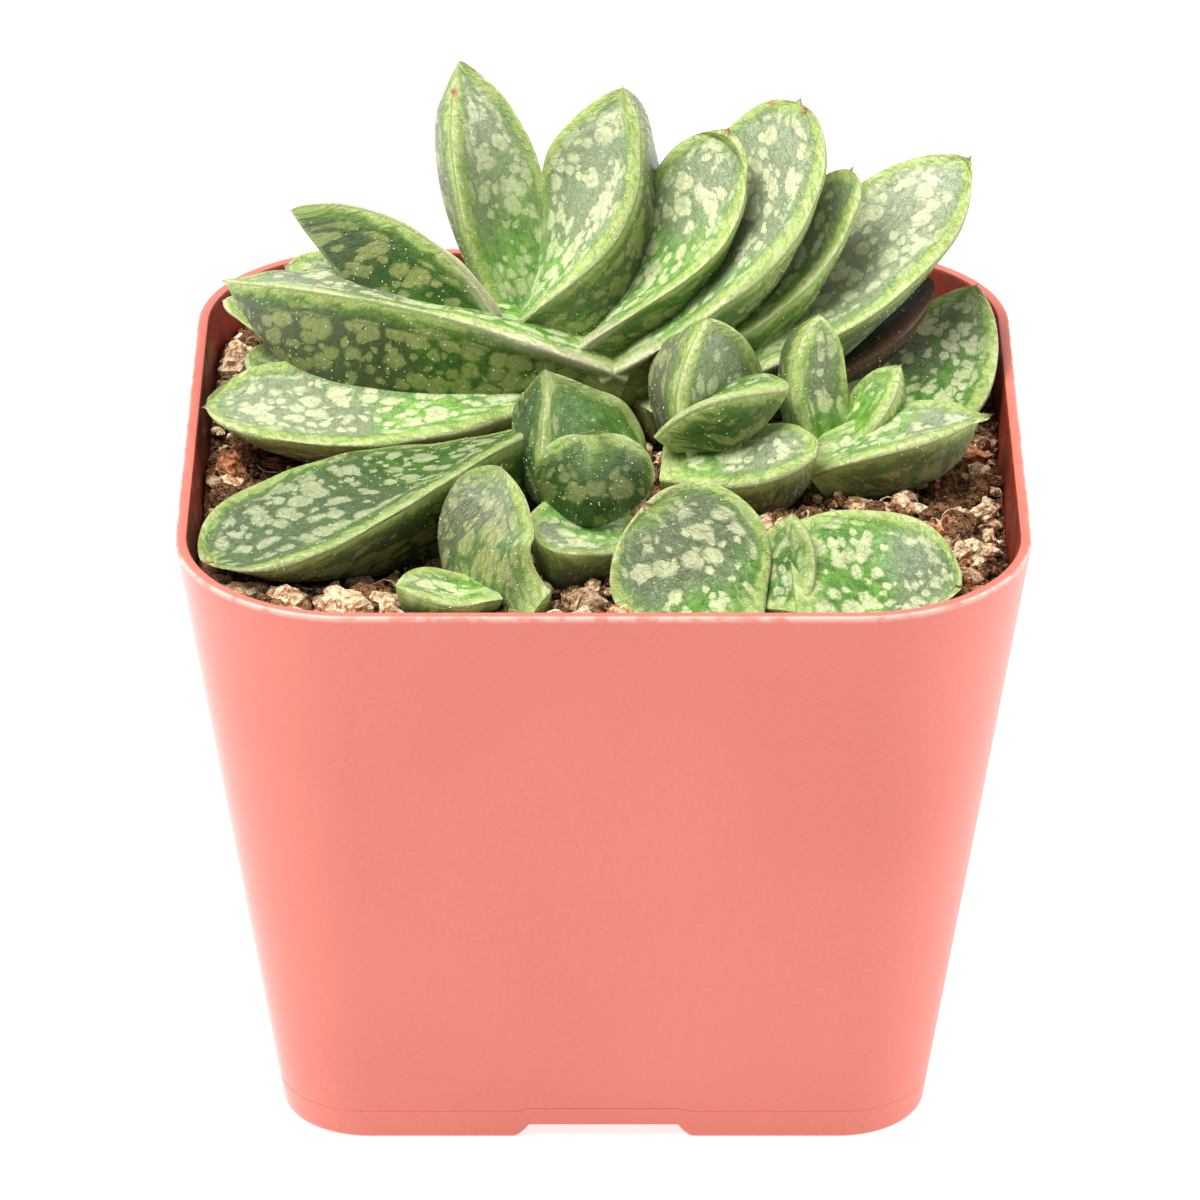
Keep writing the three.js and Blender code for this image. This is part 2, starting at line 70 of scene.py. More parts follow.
# Each hollow: its middle, its reach in x and y, and its depth
HOLLOWS = [((10, -23), (10, 5), 1.1), ((-13, -15), (8, 5), 1.8)]
# The bed's mesh: the height of its foot, and the rings of its top
SOIL_FOOT = 3.3
SOIL_RINGS = 70
# What lies on it: how far out lumps and fibres are strewn, and the fibres that are tried
LUMP_REACH = 27.4
FIBRE_REACH = 26
FIBRES = 420
FIBRE_STEPS = 10
FIBRE_SIDES = 5

# Leaves: what all of them share in shape, how far they stay from the pot's wall, and the steps of
# the mesh along a leaf, across its face, down each flank and up its tip
MARGIN_THICKNESS = 1
MARGIN_BEAD = 0.1
BEAD_REACH = 0.55
FACE_DISH = 0.12
TIP_LENGTH = 0.5
RIPPLE_HEIGHT = 0.055
RIPPLE_SCALES = (0.35, 0.6, 1.0, 1.7)
LAST_RING = 0.9995
LEAF_CLEARANCE = 0.15
RINGS = 72
FACE_STEPS = 30
FLANK_STEPS = 18
TIP_STEPS = 5

# How far apart on the patterns of the skin one leaf is from the next, across and along
PATTERNS_APART = (31.7, 11.3)
# What the upper side has as its distance from the keel, so that the keel's colour spares it
FAR_FROM_KEEL = 9

# Pot mesh: steps round a corner, and places along a side from -1 to 1, close at the notch
ARC_STEPS = 22
SIDE_PLACES = np.concatenate([
    np.linspace(-1, -0.44, 9)[:-1], np.linspace(-0.44, -0.28, 17)[:-1],
    np.linspace(-0.28, 0.28, 11)[:-1], np.linspace(0.28, 0.44, 17)[:-1],
    np.linspace(0.44, 1, 9),
])

# Papery wings on the margins near a leaf's base: where along, how far they reach, and from where
# across they stand out
WING_AT = 0.16
WING_REACH = 0.18
WING_FROM = 0.93

# Light: the strength of the world and of the floor's glow, and each lamp's place, size and watts
WORLD_LIGHT = 0.35
FLOOR_GLOW = 0.75
LAMPS = {
    "key": ((-0.28, -0.17, 0.74), 0.45, 8.8),
    "left": ((-0.65, 0.05, 0.25), 0.4, 0.8),
    "right": ((0.65, 0.05, 0.25), 0.4, 3.4),
}
LAMPS_AIM = (0, 0, 0.04)

# Camera: its place in metres, its pitch from straight down in degrees, and its lens
CAMERA_PLACE = (-0.000234, -0.4861, 0.2829)
CAMERA_PITCH = 62.51
CAMERA_LENS = 238


# Tubercles of the leaves' skin: how many on a square millimetre, and their radii
TUBERCLES_PER_SQUARE = 1.1
TUBERCLE_RADII = (0.04, 0.08)


def srgb(red, green, blue):
    """A display colour, 0 to 255, as the linear colour that a shader takes."""
    def linear(value):
        share = value / 255
        return share / 12.92 if share <= 0.04045 else ((share + 0.055) / 1.055) ** 2.4
    return (linear(red), linear(green), linear(blue), 1)


# Leaf colours
FACE_GREEN, FACE_LEAFY, FACE_DEEP = srgb(94, 160, 36), srgb(142, 200, 70), srgb(52, 116, 16)
# The wrinkle lines' colour on the next line is a painted highlight of the fine relief.
FACE_GREY, FACE_LINES, FACE_SPOT = srgb(118, 136, 92), srgb(196, 206, 168), srgb(234, 238, 184)
# The underside's colours on these two lines are the upper side's set made darker, which paints the
# shade on the undersides.
FLANK_GREEN, FLANK_LEAFY, FLANK_GREY = srgb(62, 114, 14), srgb(102, 150, 32), srgb(84, 98, 42)
FLANK_LINES, FLANK_SPOT = srgb(124, 134, 84), srgb(182, 188, 108)
MARGIN_GREEN, MARGIN_YELLOW = srgb(126, 164, 64), srgb(182, 204, 112)
# The second colour on the next line is the dark green of painted shade.
MARGIN_PALE, SHADE_GREEN = srgb(204, 216, 148), srgb(20, 58, 1)
# The first colour on the next line is the pale wash of a painted haze of light.
HAZE_PALE, BASE_PALE = srgb(212, 220, 188), srgb(190, 208, 128)
DOT_WHITE, DOT_GREEN = srgb(244, 246, 232), srgb(206, 218, 180)
SHEATH_CREAM, SHEATH_PINK = srgb(222, 218, 184), srgb(206, 188, 164)
# A dry leaf: the first two colours are its body darkened by painted shade, the third is its dry rim.
SHADED_WITHERED_DARK, SHADED_WITHERED_GREEN, WITHERED_RIM = srgb(12, 12, 7), srgb(30, 34, 18), srgb(92, 54, 36)
SCAR_RED, SCAR_TAN = srgb(150, 62, 40), srgb(202, 142, 104)

# Lumps of pale pumice that lie on the soil: (x, y, radius)
PUMICE = [
    (-25, 14, 1.4), (-25.6, 10, 0.9), (-17.3, -21.5, 1.3), (25.6, -8.2, 0.9), (25, -13.4, 1.1),
    (22.6, -13.2, 1.2), (3, 20, 1.3), (-9, 22, 1.1), (14, 21, 1.2),
]

# Each leaf runs from base to tip, both given as (x, y, height over the rim). face is the way its
# upper side looks at the base and face_tip at the tip. width is across the margins, and depth is
# how far the keel stands below them. bow arches the leaf toward its face, and sway bends it
# toward its right margin. keel is where the ridge of the underside lies, from -1 to 1 across.
# Low values of blunt give a round end. broad_at and deepest are where along the leaf it is widest
# and deepest, and foot and heel are the shares of that width and depth that its base has.
#
# look is how grey and how spotted the skin is and how far a painted haze of light pales it, and
# the pair after it is how far painted shade darkens its green, on the upper side and on the
# underside. ridged is how far the keel stands out in colour, dry is how dry the leaf is and how far
# its body takes the near-black of painted shade, and wing is how wide its papery edges are. A leaf
# that is seen end on has its spots laid out across the end. Each scar of the upper side has how far
# along it is, where across, and its radius.
USUAL_LEAF = dict(bow=0, sway=0, keel=0, blunt=0.75, broad_at=0.5, foot=0.6, deepest=0.45,
                  heel=0.6, look=(0.4, 0.7, 0), deep=(0.05, 0.2), ridged=0.3, dry=0, wing=0,
                  end_on=False, scars=())


def leaf(base, tip, face, width, depth, **more):
    """A row of the table: what a leaf has of its own, over what is usual."""
    return {**USUAL_LEAF, "base": base, "tip": tip, "face": face, "face_tip": face,
            "width": width, "depth": depth, **more}


PLANTS = {
    "middle_offset": [
        leaf((-0.6, -8.5, -1), (-0.7, -11.6, 5.3), (0, 0.7, 0.7), 8.3, 4.2,
             face_tip=(0, 0.5, 0.8), blunt=0.6, foot=0.9, broad_at=0.3, look=(-0.3, 0.75, 0),
             deep=(0.5, 0.66), ridged=0, end_on=True),
        leaf((0.5, -10, -1.5), (-3.5, -18.5, -0.2), (0, -0.3, 1), 7.5, 4, bow=-0.3, blunt=0.6,
             foot=1, broad_at=0.4, look=(0.4, 0.55, 0.3), deep=(0, 0)),
        leaf((0.8, -8, -2.5), (-3.9, -7.5, 7.8), (0.75, -0.7, 0.1), 9.4, 7.2,
             face_tip=(0.75, -0.65, 0), sway=0.2, blunt=1.4, broad_at=0.35, deepest=0.3, heel=1,
             look=(-0.3, 0.3, 0), deep=(0.35, 0.6)),
    ],
    "front_left_offset": [
        leaf((-3.8, -20, -4.8), (-6.8, -15.2, 4.3), (0.7, 0.7, 0.2), 9.4, 3, bow=-0.8, sway=2.2,
             keel=0.4, blunt=0.6, foot=0.75, look=(0.3, 0.95, 0.45), deep=(0.1, 0.15), ridged=0),
        leaf((-7, -20, -2.5), (-13.8, -22, -1), (0.1, 0, 1), 5.5, 2.5, blunt=0.8,
             look=(0.3, 0.65, 0)),
    ],
    "front_right_offset": [
        leaf((8, -22.4, -4.2), (2.8, -17.1, 2.3), (0.2, -0.75, 0.65), 11.6, 3.5, bow=-1, sway=0.6,
             keel=0.3, blunt=0.42, foot=0.45, broad_at=0.55, look=(1, 0.6, 0), deep=(0.2, 0.2)),
        leaf((10.8, -20.3, -3.8), (12.5, -16.3, 1.4), (-0.4, -0.7, 0.6), 5.4, 2.5, bow=-0.5,
             blunt=0.85, foot=0.9, broad_at=0.3, look=(-0.1, 0.75, 0), deep=(0.35, 0.35)),
        leaf((12.5, -19.5, -2.2), (23.4, -22.3, -0.9), (0.1, -0.5, 1), 12.5, 3.2, bow=-1,
             sway=-0.8, foot=0.8, broad_at=0.42, look=(0.45, 0.85, 0.1), deep=(0.2, 0.2)),
    ],
    "inner_right_offset": [
        leaf((4, -5, -0.8), (14.4, -7, 1.8), (-0.1, -0.25, 0.95), 5.8, 4.6, bow=-0.2, blunt=0.5,
             foot=0.6, broad_at=0.6, heel=0.5, look=(0.7, 0.75, 0.35)),
        leaf((4, -4, 1), (12.2, -4.2, 4.8), (-0.4, 0.4, 0.8), 5.2, 2.8, face_tip=(0, 0.2, 0.9),
             bow=1, blunt=0.5, foot=0.8, heel=0.4, look=(-0.2, 0.65, 0), deep=(0.25, 0.3)),
        leaf((9, -1.8, -3), (7.1, -2, 8.7), (0.75, -0.66, 0.1), 8.4, 6.2, face_tip=(0.7, -0.7, 0),
             blunt=0.85, look=(0.8, 0.6, 0.4), wing=0.7),
    ],
    "outer_right_offset": [
        leaf((14, -4, -1), (26, -4, 2.7), (-0.1, 0, 1), 6.8, 4.2, bow=0.7, blunt=0.7, foot=0.7,
             look=(0.4, 0.85, 0.5)),
        leaf((15.6, -2, -2), (14.6, 1, 7.5), (0.6, -0.8, 0.2), 4.4, 2.6, bow=-0.7, keel=-0.4,
             blunt=0.8, look=(1, 0.45, 0)),
        leaf((15.8, -2.5, -2), (20.2, 0, 4.4), (-0.9, -0.2, 0.4), 5, 2.2,
             face_tip=(-0.9, -0.4, 0.4), bow=0.2, sway=-0.3, blunt=0.9, look=(0, 0.35, 0)),
        leaf((15.5, -1.5, -2.5), (22, -0.2, 0.6), (-0.4, -0.2, 0.9), 5, 2, bow=-0.6, blunt=0.8,
             foot=0.8),
        leaf((17.5, -1, -3), (25.9, 13, 4.2), (-0.3, -0.7, 0.75), 9.8, 2.6,
             face_tip=(-0.4, -0.8, 0.5), bow=-0.6, blunt=0.8, look=(0.3, 0.75, 0),
             deep=(0.35, 0.4)),
    ],
    "rosette": [
        leaf((2, 3, 2.4), (-26, 8.9, 6.6), (0.05, 0.25, 0.95), 8.5, 7.8,
             face_tip=(0.1, 0.25, 0.9), bow=1.7, foot=0.4, broad_at=0.55, deepest=0.6, heel=0.2,
             look=(0.45, 0.8, 0), deep=(0, 0.4), wing=1.4),
        leaf((-6, 6, 2), (-21.6, 12.5, 10.3), (0.5, 0.6, 0.6), 8, 5, face_tip=(0.3, 0.7, 0.55),
             bow=2.3, blunt=0.7, foot=0.4, look=(0.5, 0.57, 0), deep=(0, 0.52), wing=1.5),
        leaf((-1, 3.2, 1.4), (-27, -0.4, 1.5), (0.1, -0.12, 1), 11.5, 5, face_tip=(0.2, -0.1, 1),
             bow=-0.6, sway=0.6, blunt=0.5, foot=0.2, broad_at=0.6, heel=0.4,
             look=(0.35, 0.85, 0.35), deep=(0, 0.2), scars=[(0.83, -0.75, 0.3)]),
        leaf((-1, -0.5, 0.8), (-26.2, -19.6, -0.4), (-0.1, 0.5, 1), 11, 6.5, face_tip=(0.1, 0, 1),
             bow=1.3, sway=-0.6, blunt=0.42, foot=0.2, broad_at=0.7, heel=0.5,
             look=(0.25, 0.8, 0), deep=(0.52, 0.35)),
        leaf((-8, 9, 0.5), (1.3, 9.5, 20.8), (-0.9, 0.25, 0.2), 9.6, 7.3,
             face_tip=(-0.5, -0.85, 0.1), bow=-1.2, blunt=0.8, foot=0.8, broad_at=0.4,
             look=(0.7, 0.75, 0.4), deep=(0, 0.15), wing=0.8),
        leaf((-2, 5.5, 2.5), (8.4, 10, 17.3), (-0.8, 0.3, 0.6), 9.5, 3.6,
             face_tip=(-0.5, -0.75, 0.45), bow=-1, sway=0.5, blunt=0.45, look=(0.35, 0.83, 0.2),
             deep=(0, 0.1), wing=1.4),
        leaf((-0.5, 5, 1.8), (13.4, 12, 18.6), (-0.8, 0.1, 0.8), 11.5, 4.6,
             face_tip=(-0.5, -0.6, 0.7), bow=-1.4, sway=1, blunt=0.45, look=(0.5, 0.65, 0.35),
             deep=(0, 0.1), wing=1.5, scars=[(0.97, -0.9, 0.5), (0.985, 0.4, 0.4)]),
        leaf((2, 5, 1), (17, 11, 14), (-0.7, 0, 0.8), 8, 3.4, face_tip=(-0.5, -0.5, 0.7), bow=-1,
             sway=1, blunt=0.5, look=(0.25, 0.7, 0.1), wing=0.9),
        leaf((2, 3.5, 0), (25.2, 13.5, 13.8), (-0.6, 0, 0.9), 11.5, 5, face_tip=(-0.4, -0.6, 0.8),
             bow=-1.4, blunt=0.6, look=(0.55, 0.7, 0.6), deep=(0, 0.45), wing=1.1,
             scars=[(0.36, -0.55, 0.35)]),
        leaf((-3.8, 9.5, -1.3), (-9.9, 13.5, 21.1), (0.6, -0.75, 0.2), 8.2, 3.2,
             face_tip=(0.75, -0.65, 0.1), bow=-1, sway=1.3, keel=-0.5, blunt=0.8,
             look=(0.5, 0.75, 0.5), deep=(0, 0), scars=[(0.93, -1, 0.45)]),
        leaf((3, 3.5, -2), (22.8, 14, 4.4), (-0.6, 0, 0.9), 9, 2.6, face_tip=(-0.5, -0.3, 0.9),
             bow=-1, blunt=0.5, ridged=0, dry=0.95),
        leaf((-2, 5, 0), (-26.2, 13.5, 2.8), (0.3, -0.2, 1), 8, 2.6, bow=-1, blunt=0.6),
        leaf((-2, 7, 1), (-22, 15.5, 4.6), (0.4, -0.4, 1), 9, 3, bow=-0.5, blunt=0.45,
             broad_at=0.6),
        leaf((-2, 3.5, -2), (-24.6, 11.5, -0.3), (0.2, -0.2, 1), 8, 2.4, bow=-0.6, blunt=0.45,
             broad_at=0.6),
    ],
}


# ---- Shader writing

class Shader:
    """Writes a node tree. Each call returns an output that the next one can take."""

    def __init__(self, name, dimensions="3D"):
        self.dimensions = dimensions
        self.material = bpy.data.materials.new(name)
        self.material.use_nodes = True
        self.tree = self.material.node_tree
        self.tree.nodes.clear()

    def node(self, kind, inputs=(), **settings):
        made = self.tree.nodes.new(kind)
        for key, value in settings.items():
            setattr(made, key, value)
        for key, value in dict(inputs).items():
            if isinstance(value, bpy.types.NodeSocket):
                self.tree.links.new(value, made.inputs[key])
            else:
                made.inputs[key].default_value = value
        return made

    def attribute(self, name, output="Vector"):
        return self.node("ShaderNodeAttribute", attribute_name=name).outputs[output]

    def parts(self, vector):
        return self.node("ShaderNodeSeparateXYZ", {0: vector}).outputs

    def math(self, operation, a, b=0.0, c=0.0):
        return self.node("ShaderNodeMath", {0: a, 1: b, 2: c}, operation=operation).outputs[0]

    def add(self, a, b):
        return self.math("ADD", a, b)

    def times(self, a, b):
        return self.math("MULTIPLY", a, b)

    def most(self, a, b):
        return self.math("MAXIMUM", a, b)

    def least(self, a, b):
        return self.math("MINIMUM", a, b)

    def fade(self, value, low, high, start=0.0, end=1.0):
        """A smooth change from start at low to end at high, level outside."""
        inputs = {0: value, 1: low, 2: high, 3: start, 4: end}
        return self.node("ShaderNodeMapRange", inputs, interpolation_type="SMOOTHSTEP").outputs[0]

    def mix(self, share, a, b):
        inputs = {0: share, 6: a, 7: b}
        return self.node("ShaderNodeMix", inputs, data_type="RGBA").outputs[2]

    def vector(self, operation, a, b):
        return self.node("ShaderNodeVectorMath", {0: a, 1: b}, operation=operation).outputs[0]

    def noise(self, place, scale, detail=2.0, roughness=0.5, distortion=0.0, output="Fac"):
        inputs = {"Vector": place, "Scale": scale, "Detail": detail, "Roughness": roughness,
                  "Distortion": distortion}
        made = self.node("ShaderNodeTexNoise", inputs, noise_dimensions=self.dimensions)
        return made.outputs[output]

    def cells(self, place, scale, randomness=1.0):
        inputs = {"Vector": place, "Scale": scale, "Randomness": randomness}
        return self.node("ShaderNodeTexVoronoi", inputs, voronoi_dimensions=self.dimensions)

    def warp(self, place, scale, reach, detail=1.0):
        """place, pushed about by up to reach in a pattern of that scale."""
        colour = self.noise(place, scale, detail, output="Color")
        push = self.vector("SUBTRACT", colour, (0.5, 0.5, 0.5))
        return self.vector("ADD", place, self.vector("MULTIPLY", push, (reach, reach, reach)))

    def place(self):
        """The place on the object, in millimetres."""
        coordinates = self.node("ShaderNodeTexCoord").outputs["Object"]
        return self.vector("MULTIPLY", coordinates, (1 / MM, 1 / MM, 1 / MM))

    def bump(self, height):
        """The normal of a skin that stands out by height, in millimetres."""
        inputs = {"Height": height, "Strength": 1.0, "Distance": MM}
        return self.node("ShaderNodeBump", inputs).outputs[0]

    def finish(self, inputs):
        surface = self.node("ShaderNodeBsdfPrincipled", inputs)
        self.node("ShaderNodeOutputMaterial", {0: surface.outputs[0]})
        return self.material


# ---- Leaf material

def leaf_material():
    """The skin of all leaves, which reads what Leaf.skin and make_leaves wrote on the mesh.

    surface holds millimetres across and along, far apart for each leaf. zones holds the distances
    from the margin and from the keel, and the share of the way to the tip. tone holds how grey and
    how spotted the leaf is and how far a painted haze of light pales it. marks holds how far the
    keel stands out in colour, how dry the leaf is, with the near-black of painted shade on a dry
    leaf's body, and where it is scarred or horny. under is 1 on the underside, wing is the papery
    edge at the base, and the last is how far painted shade darkens the green.
    """
    s = Shader("leaf", "2D")
    surface = s.attribute("surface")
    edge, keel, along = s.parts(s.attribute("zones"))
    grey, spotted, pale = s.parts(s.attribute("tone"))
    ridged, dry, scar = s.parts(s.attribute("marks"))
    under = s.attribute("under", "Fac")
    wing = s.attribute("wing", "Fac")
    # How far painted shade darkens the green, where a leaf or its underside lies in shade.
    deep = s.attribute("deep", "Fac")

    broad = s.noise(surface, 0.17, 1)
    cloudy = s.noise(surface, 0.95, 1)
    fine = s.noise(surface, 5.0, 1)
    lengthwise = s.vector("MULTIPLY", surface, (1, 0.13, 1))
    streaky = s.noise(lengthwise, 2.3, 1)

    torn = s.warp(s.warp(surface, 1.0, 0.5), 4.2, 0.26)
    density = s.add(spotted, s.fade(broad, 0.3, 0.7, -0.14, 0.26))

    def spots(place, scale, small, large, share):
        cells = s.cells(place, scale, 0.9)
        chance, size, _ = s.parts(cells.outputs["Color"])
        rim = s.math("SUBTRACT", cells.outputs["Distance"], s.fade(size, 0, 1, small, large))
        shown = s.math("LESS_THAN", chance, s.times(density, share))
        return s.times(s.fade(rim, 0.1, -0.09), shown)

    round_spots = s.most(spots(torn, 0.58, 0.25, 0.47, 0.92), spots(torn, 1.1, 0.22, 0.44, 0.62))
    drawn_out = s.vector("MULTIPLY", torn, (1.25, 0.42, 1))
    streaks = spots(drawn_out, 0.9, 0.2, 0.46, 1.0)
    near_edge = s.least(s.fade(edge, 0.7, 1.1), s.fade(edge, 2.1, 1.4))
    spot = s.most(s.times(round_spots, s.fade(near_edge, 0.9, 0.3)), s.times(streaks, near_edge))
    spot = s.times(spot, s.fade(cloudy, 0.25, 0.6, 0.8, 1.0))

    worms = s.noise(surface, 1.9, 0, 0.5, 0.9)
    wrinkle = s.math("SINE", s.times(worms, 50.0))

    grey_here = s.add(s.add(grey, s.fade(broad, 0.35, 0.65, 0.2, -0.2)),
                      s.fade(along, 0.15, 0.85, -0.8, 0.45))
    greyness = s.times(s.fade(grey_here, 0.05, 0.75), s.fade(edge, 0.5, 1.2))
    dark_streaks = s.times(s.fade(streaky, 0.6, 0.35), s.fade(along, 0.75, 0.2))
    face_green = s.mix(s.fade(cloudy, 0.3, 0.7), FACE_GREEN, FACE_LEAFY)
    face_green = s.mix(s.times(dark_streaks, 0.6), face_green, FACE_DEEP)
    face = s.mix(greyness, face_green, FACE_GREY)
    # The underside's darker set is painted shade of the undersides.
    flank_green = s.mix(s.fade(cloudy, 0.3, 0.7), FLANK_GREEN, FLANK_LEAFY)
    flank = s.mix(greyness, flank_green, FLANK_GREY)
    skin = s.mix(under, face, flank)
    # The pale lines over the wrinkles are painted highlights of the fine relief, fainter and darker
    # on the underside.
    lined = s.times(s.fade(greyness, 0.0, 0.8, 0.15, 0.6), s.fade(under, 0, 1, 1.0, 0.45))
    lines = s.times(s.fade(wrinkle, 0.0, 0.95), s.times(lined, s.fade(fine, 0.3, 0.55, 0.45, 1)))
    skin = s.mix(lines, skin, s.mix(under, FACE_LINES, FLANK_LINES))
    # Painted shade: the green darkened where the leaf lies in shade.
    skin = s.mix(deep, skin, SHADE_GREEN)
    skin = s.mix(s.times(spot, 0.86), skin, s.mix(under, FACE_SPOT, FLANK_SPOT))
    # Painted haze of light: the skin paled toward the tip and by the leaf's own share, as strong
    # light washes it out.
    painted_haze = s.add(pale, s.fade(along, 0.45, 1.0, 0.0, 0.4))
    skin = s.mix(s.times(painted_haze, 0.35), skin, HAZE_PALE)
    # More painted shade, over the spots and the pale haze.
    skin = s.mix(s.times(deep, 0.45), skin, SHADE_GREEN)

    uneven = s.add(edge, s.fade(cloudy, 0.3, 0.7, -0.22, 0.22))
    uneven = s.add(uneven, s.fade(under, 0, 1, 0.0, 0.2))
    skin = s.mix(s.fade(uneven, 2.0, 0.9, 0.0, s.fade(under, 0, 1, 0.45, 0.5)), skin, MARGIN_GREEN)
    skin = s.mix(s.fade(uneven, 1.1, 0.6, 0.0, 0.9), skin, MARGIN_YELLOW)
    core = s.fade(s.add(uneven, s.fade(streaky, 0.35, 0.65, -0.1, 0.1)), 0.5, 0.15)
    skin = s.mix(core, skin, MARGIN_PALE)
    # Painted shade over the margins as well.
    skin = s.mix(s.times(deep, 0.5), skin, SHADE_GREEN)
    ridge = s.times(s.fade(keel, 0.6, 0.2), s.times(ridged, under))
    skin = s.mix(ridge, skin, MARGIN_YELLOW)
    base_pale = s.fade(s.add(along, s.fade(streaky, 0.3, 0.7, -0.05, 0.05)), 0.2, 0.02)
    skin = s.mix(s.times(base_pale, 0.75), skin, BASE_PALE)
    sheath = s.mix(s.fade(streaky, 0.4, 0.6), SHEATH_CREAM, SHEATH_PINK)
    skin = s.mix(s.times(wing, 0.85), skin, sheath)

    # A dry leaf: a near-black body that is dryness and painted shade together, and the brown of its
    # dry rim.
    withered_in_shade = s.mix(s.fade(fine, 0.3, 0.7), SHADED_WITHERED_DARK, SHADED_WITHERED_GREEN)
    withered_in_shade = s.mix(s.fade(uneven, 1.5, 0.7), withered_in_shade, WITHERED_RIM)
    skin = s.mix(dry, skin, withered_in_shade)
    skin = s.mix(scar, skin, s.mix(s.fade(fine, 0.3, 0.7), SCAR_RED, SCAR_TAN))

    relief = s.add(s.times(wrinkle, 0.012), s.times(fine, 0.03))
    return s.finish({
        "Base Color": skin,
        "Roughness": s.most(s.times(dry, 0.8), s.add(s.fade(fine, 0.3, 0.7, 0.0, 0.12),
                                                     s.fade(broad, 0.35, 0.6, 0.3, 0.42))),
        "Normal": s.bump(relief),
        "Specular IOR Level": 0.35,
        "Coat Weight": 0.16,
        "Coat Roughness": 0.25,
        "Sheen Weight": 0.05,
        "Sheen Roughness": 0.35,
    })


# ---- Leaf shape

def unit(vectors):
    return vectors / np.linalg.norm(vectors, axis=-1, keepdims=True)


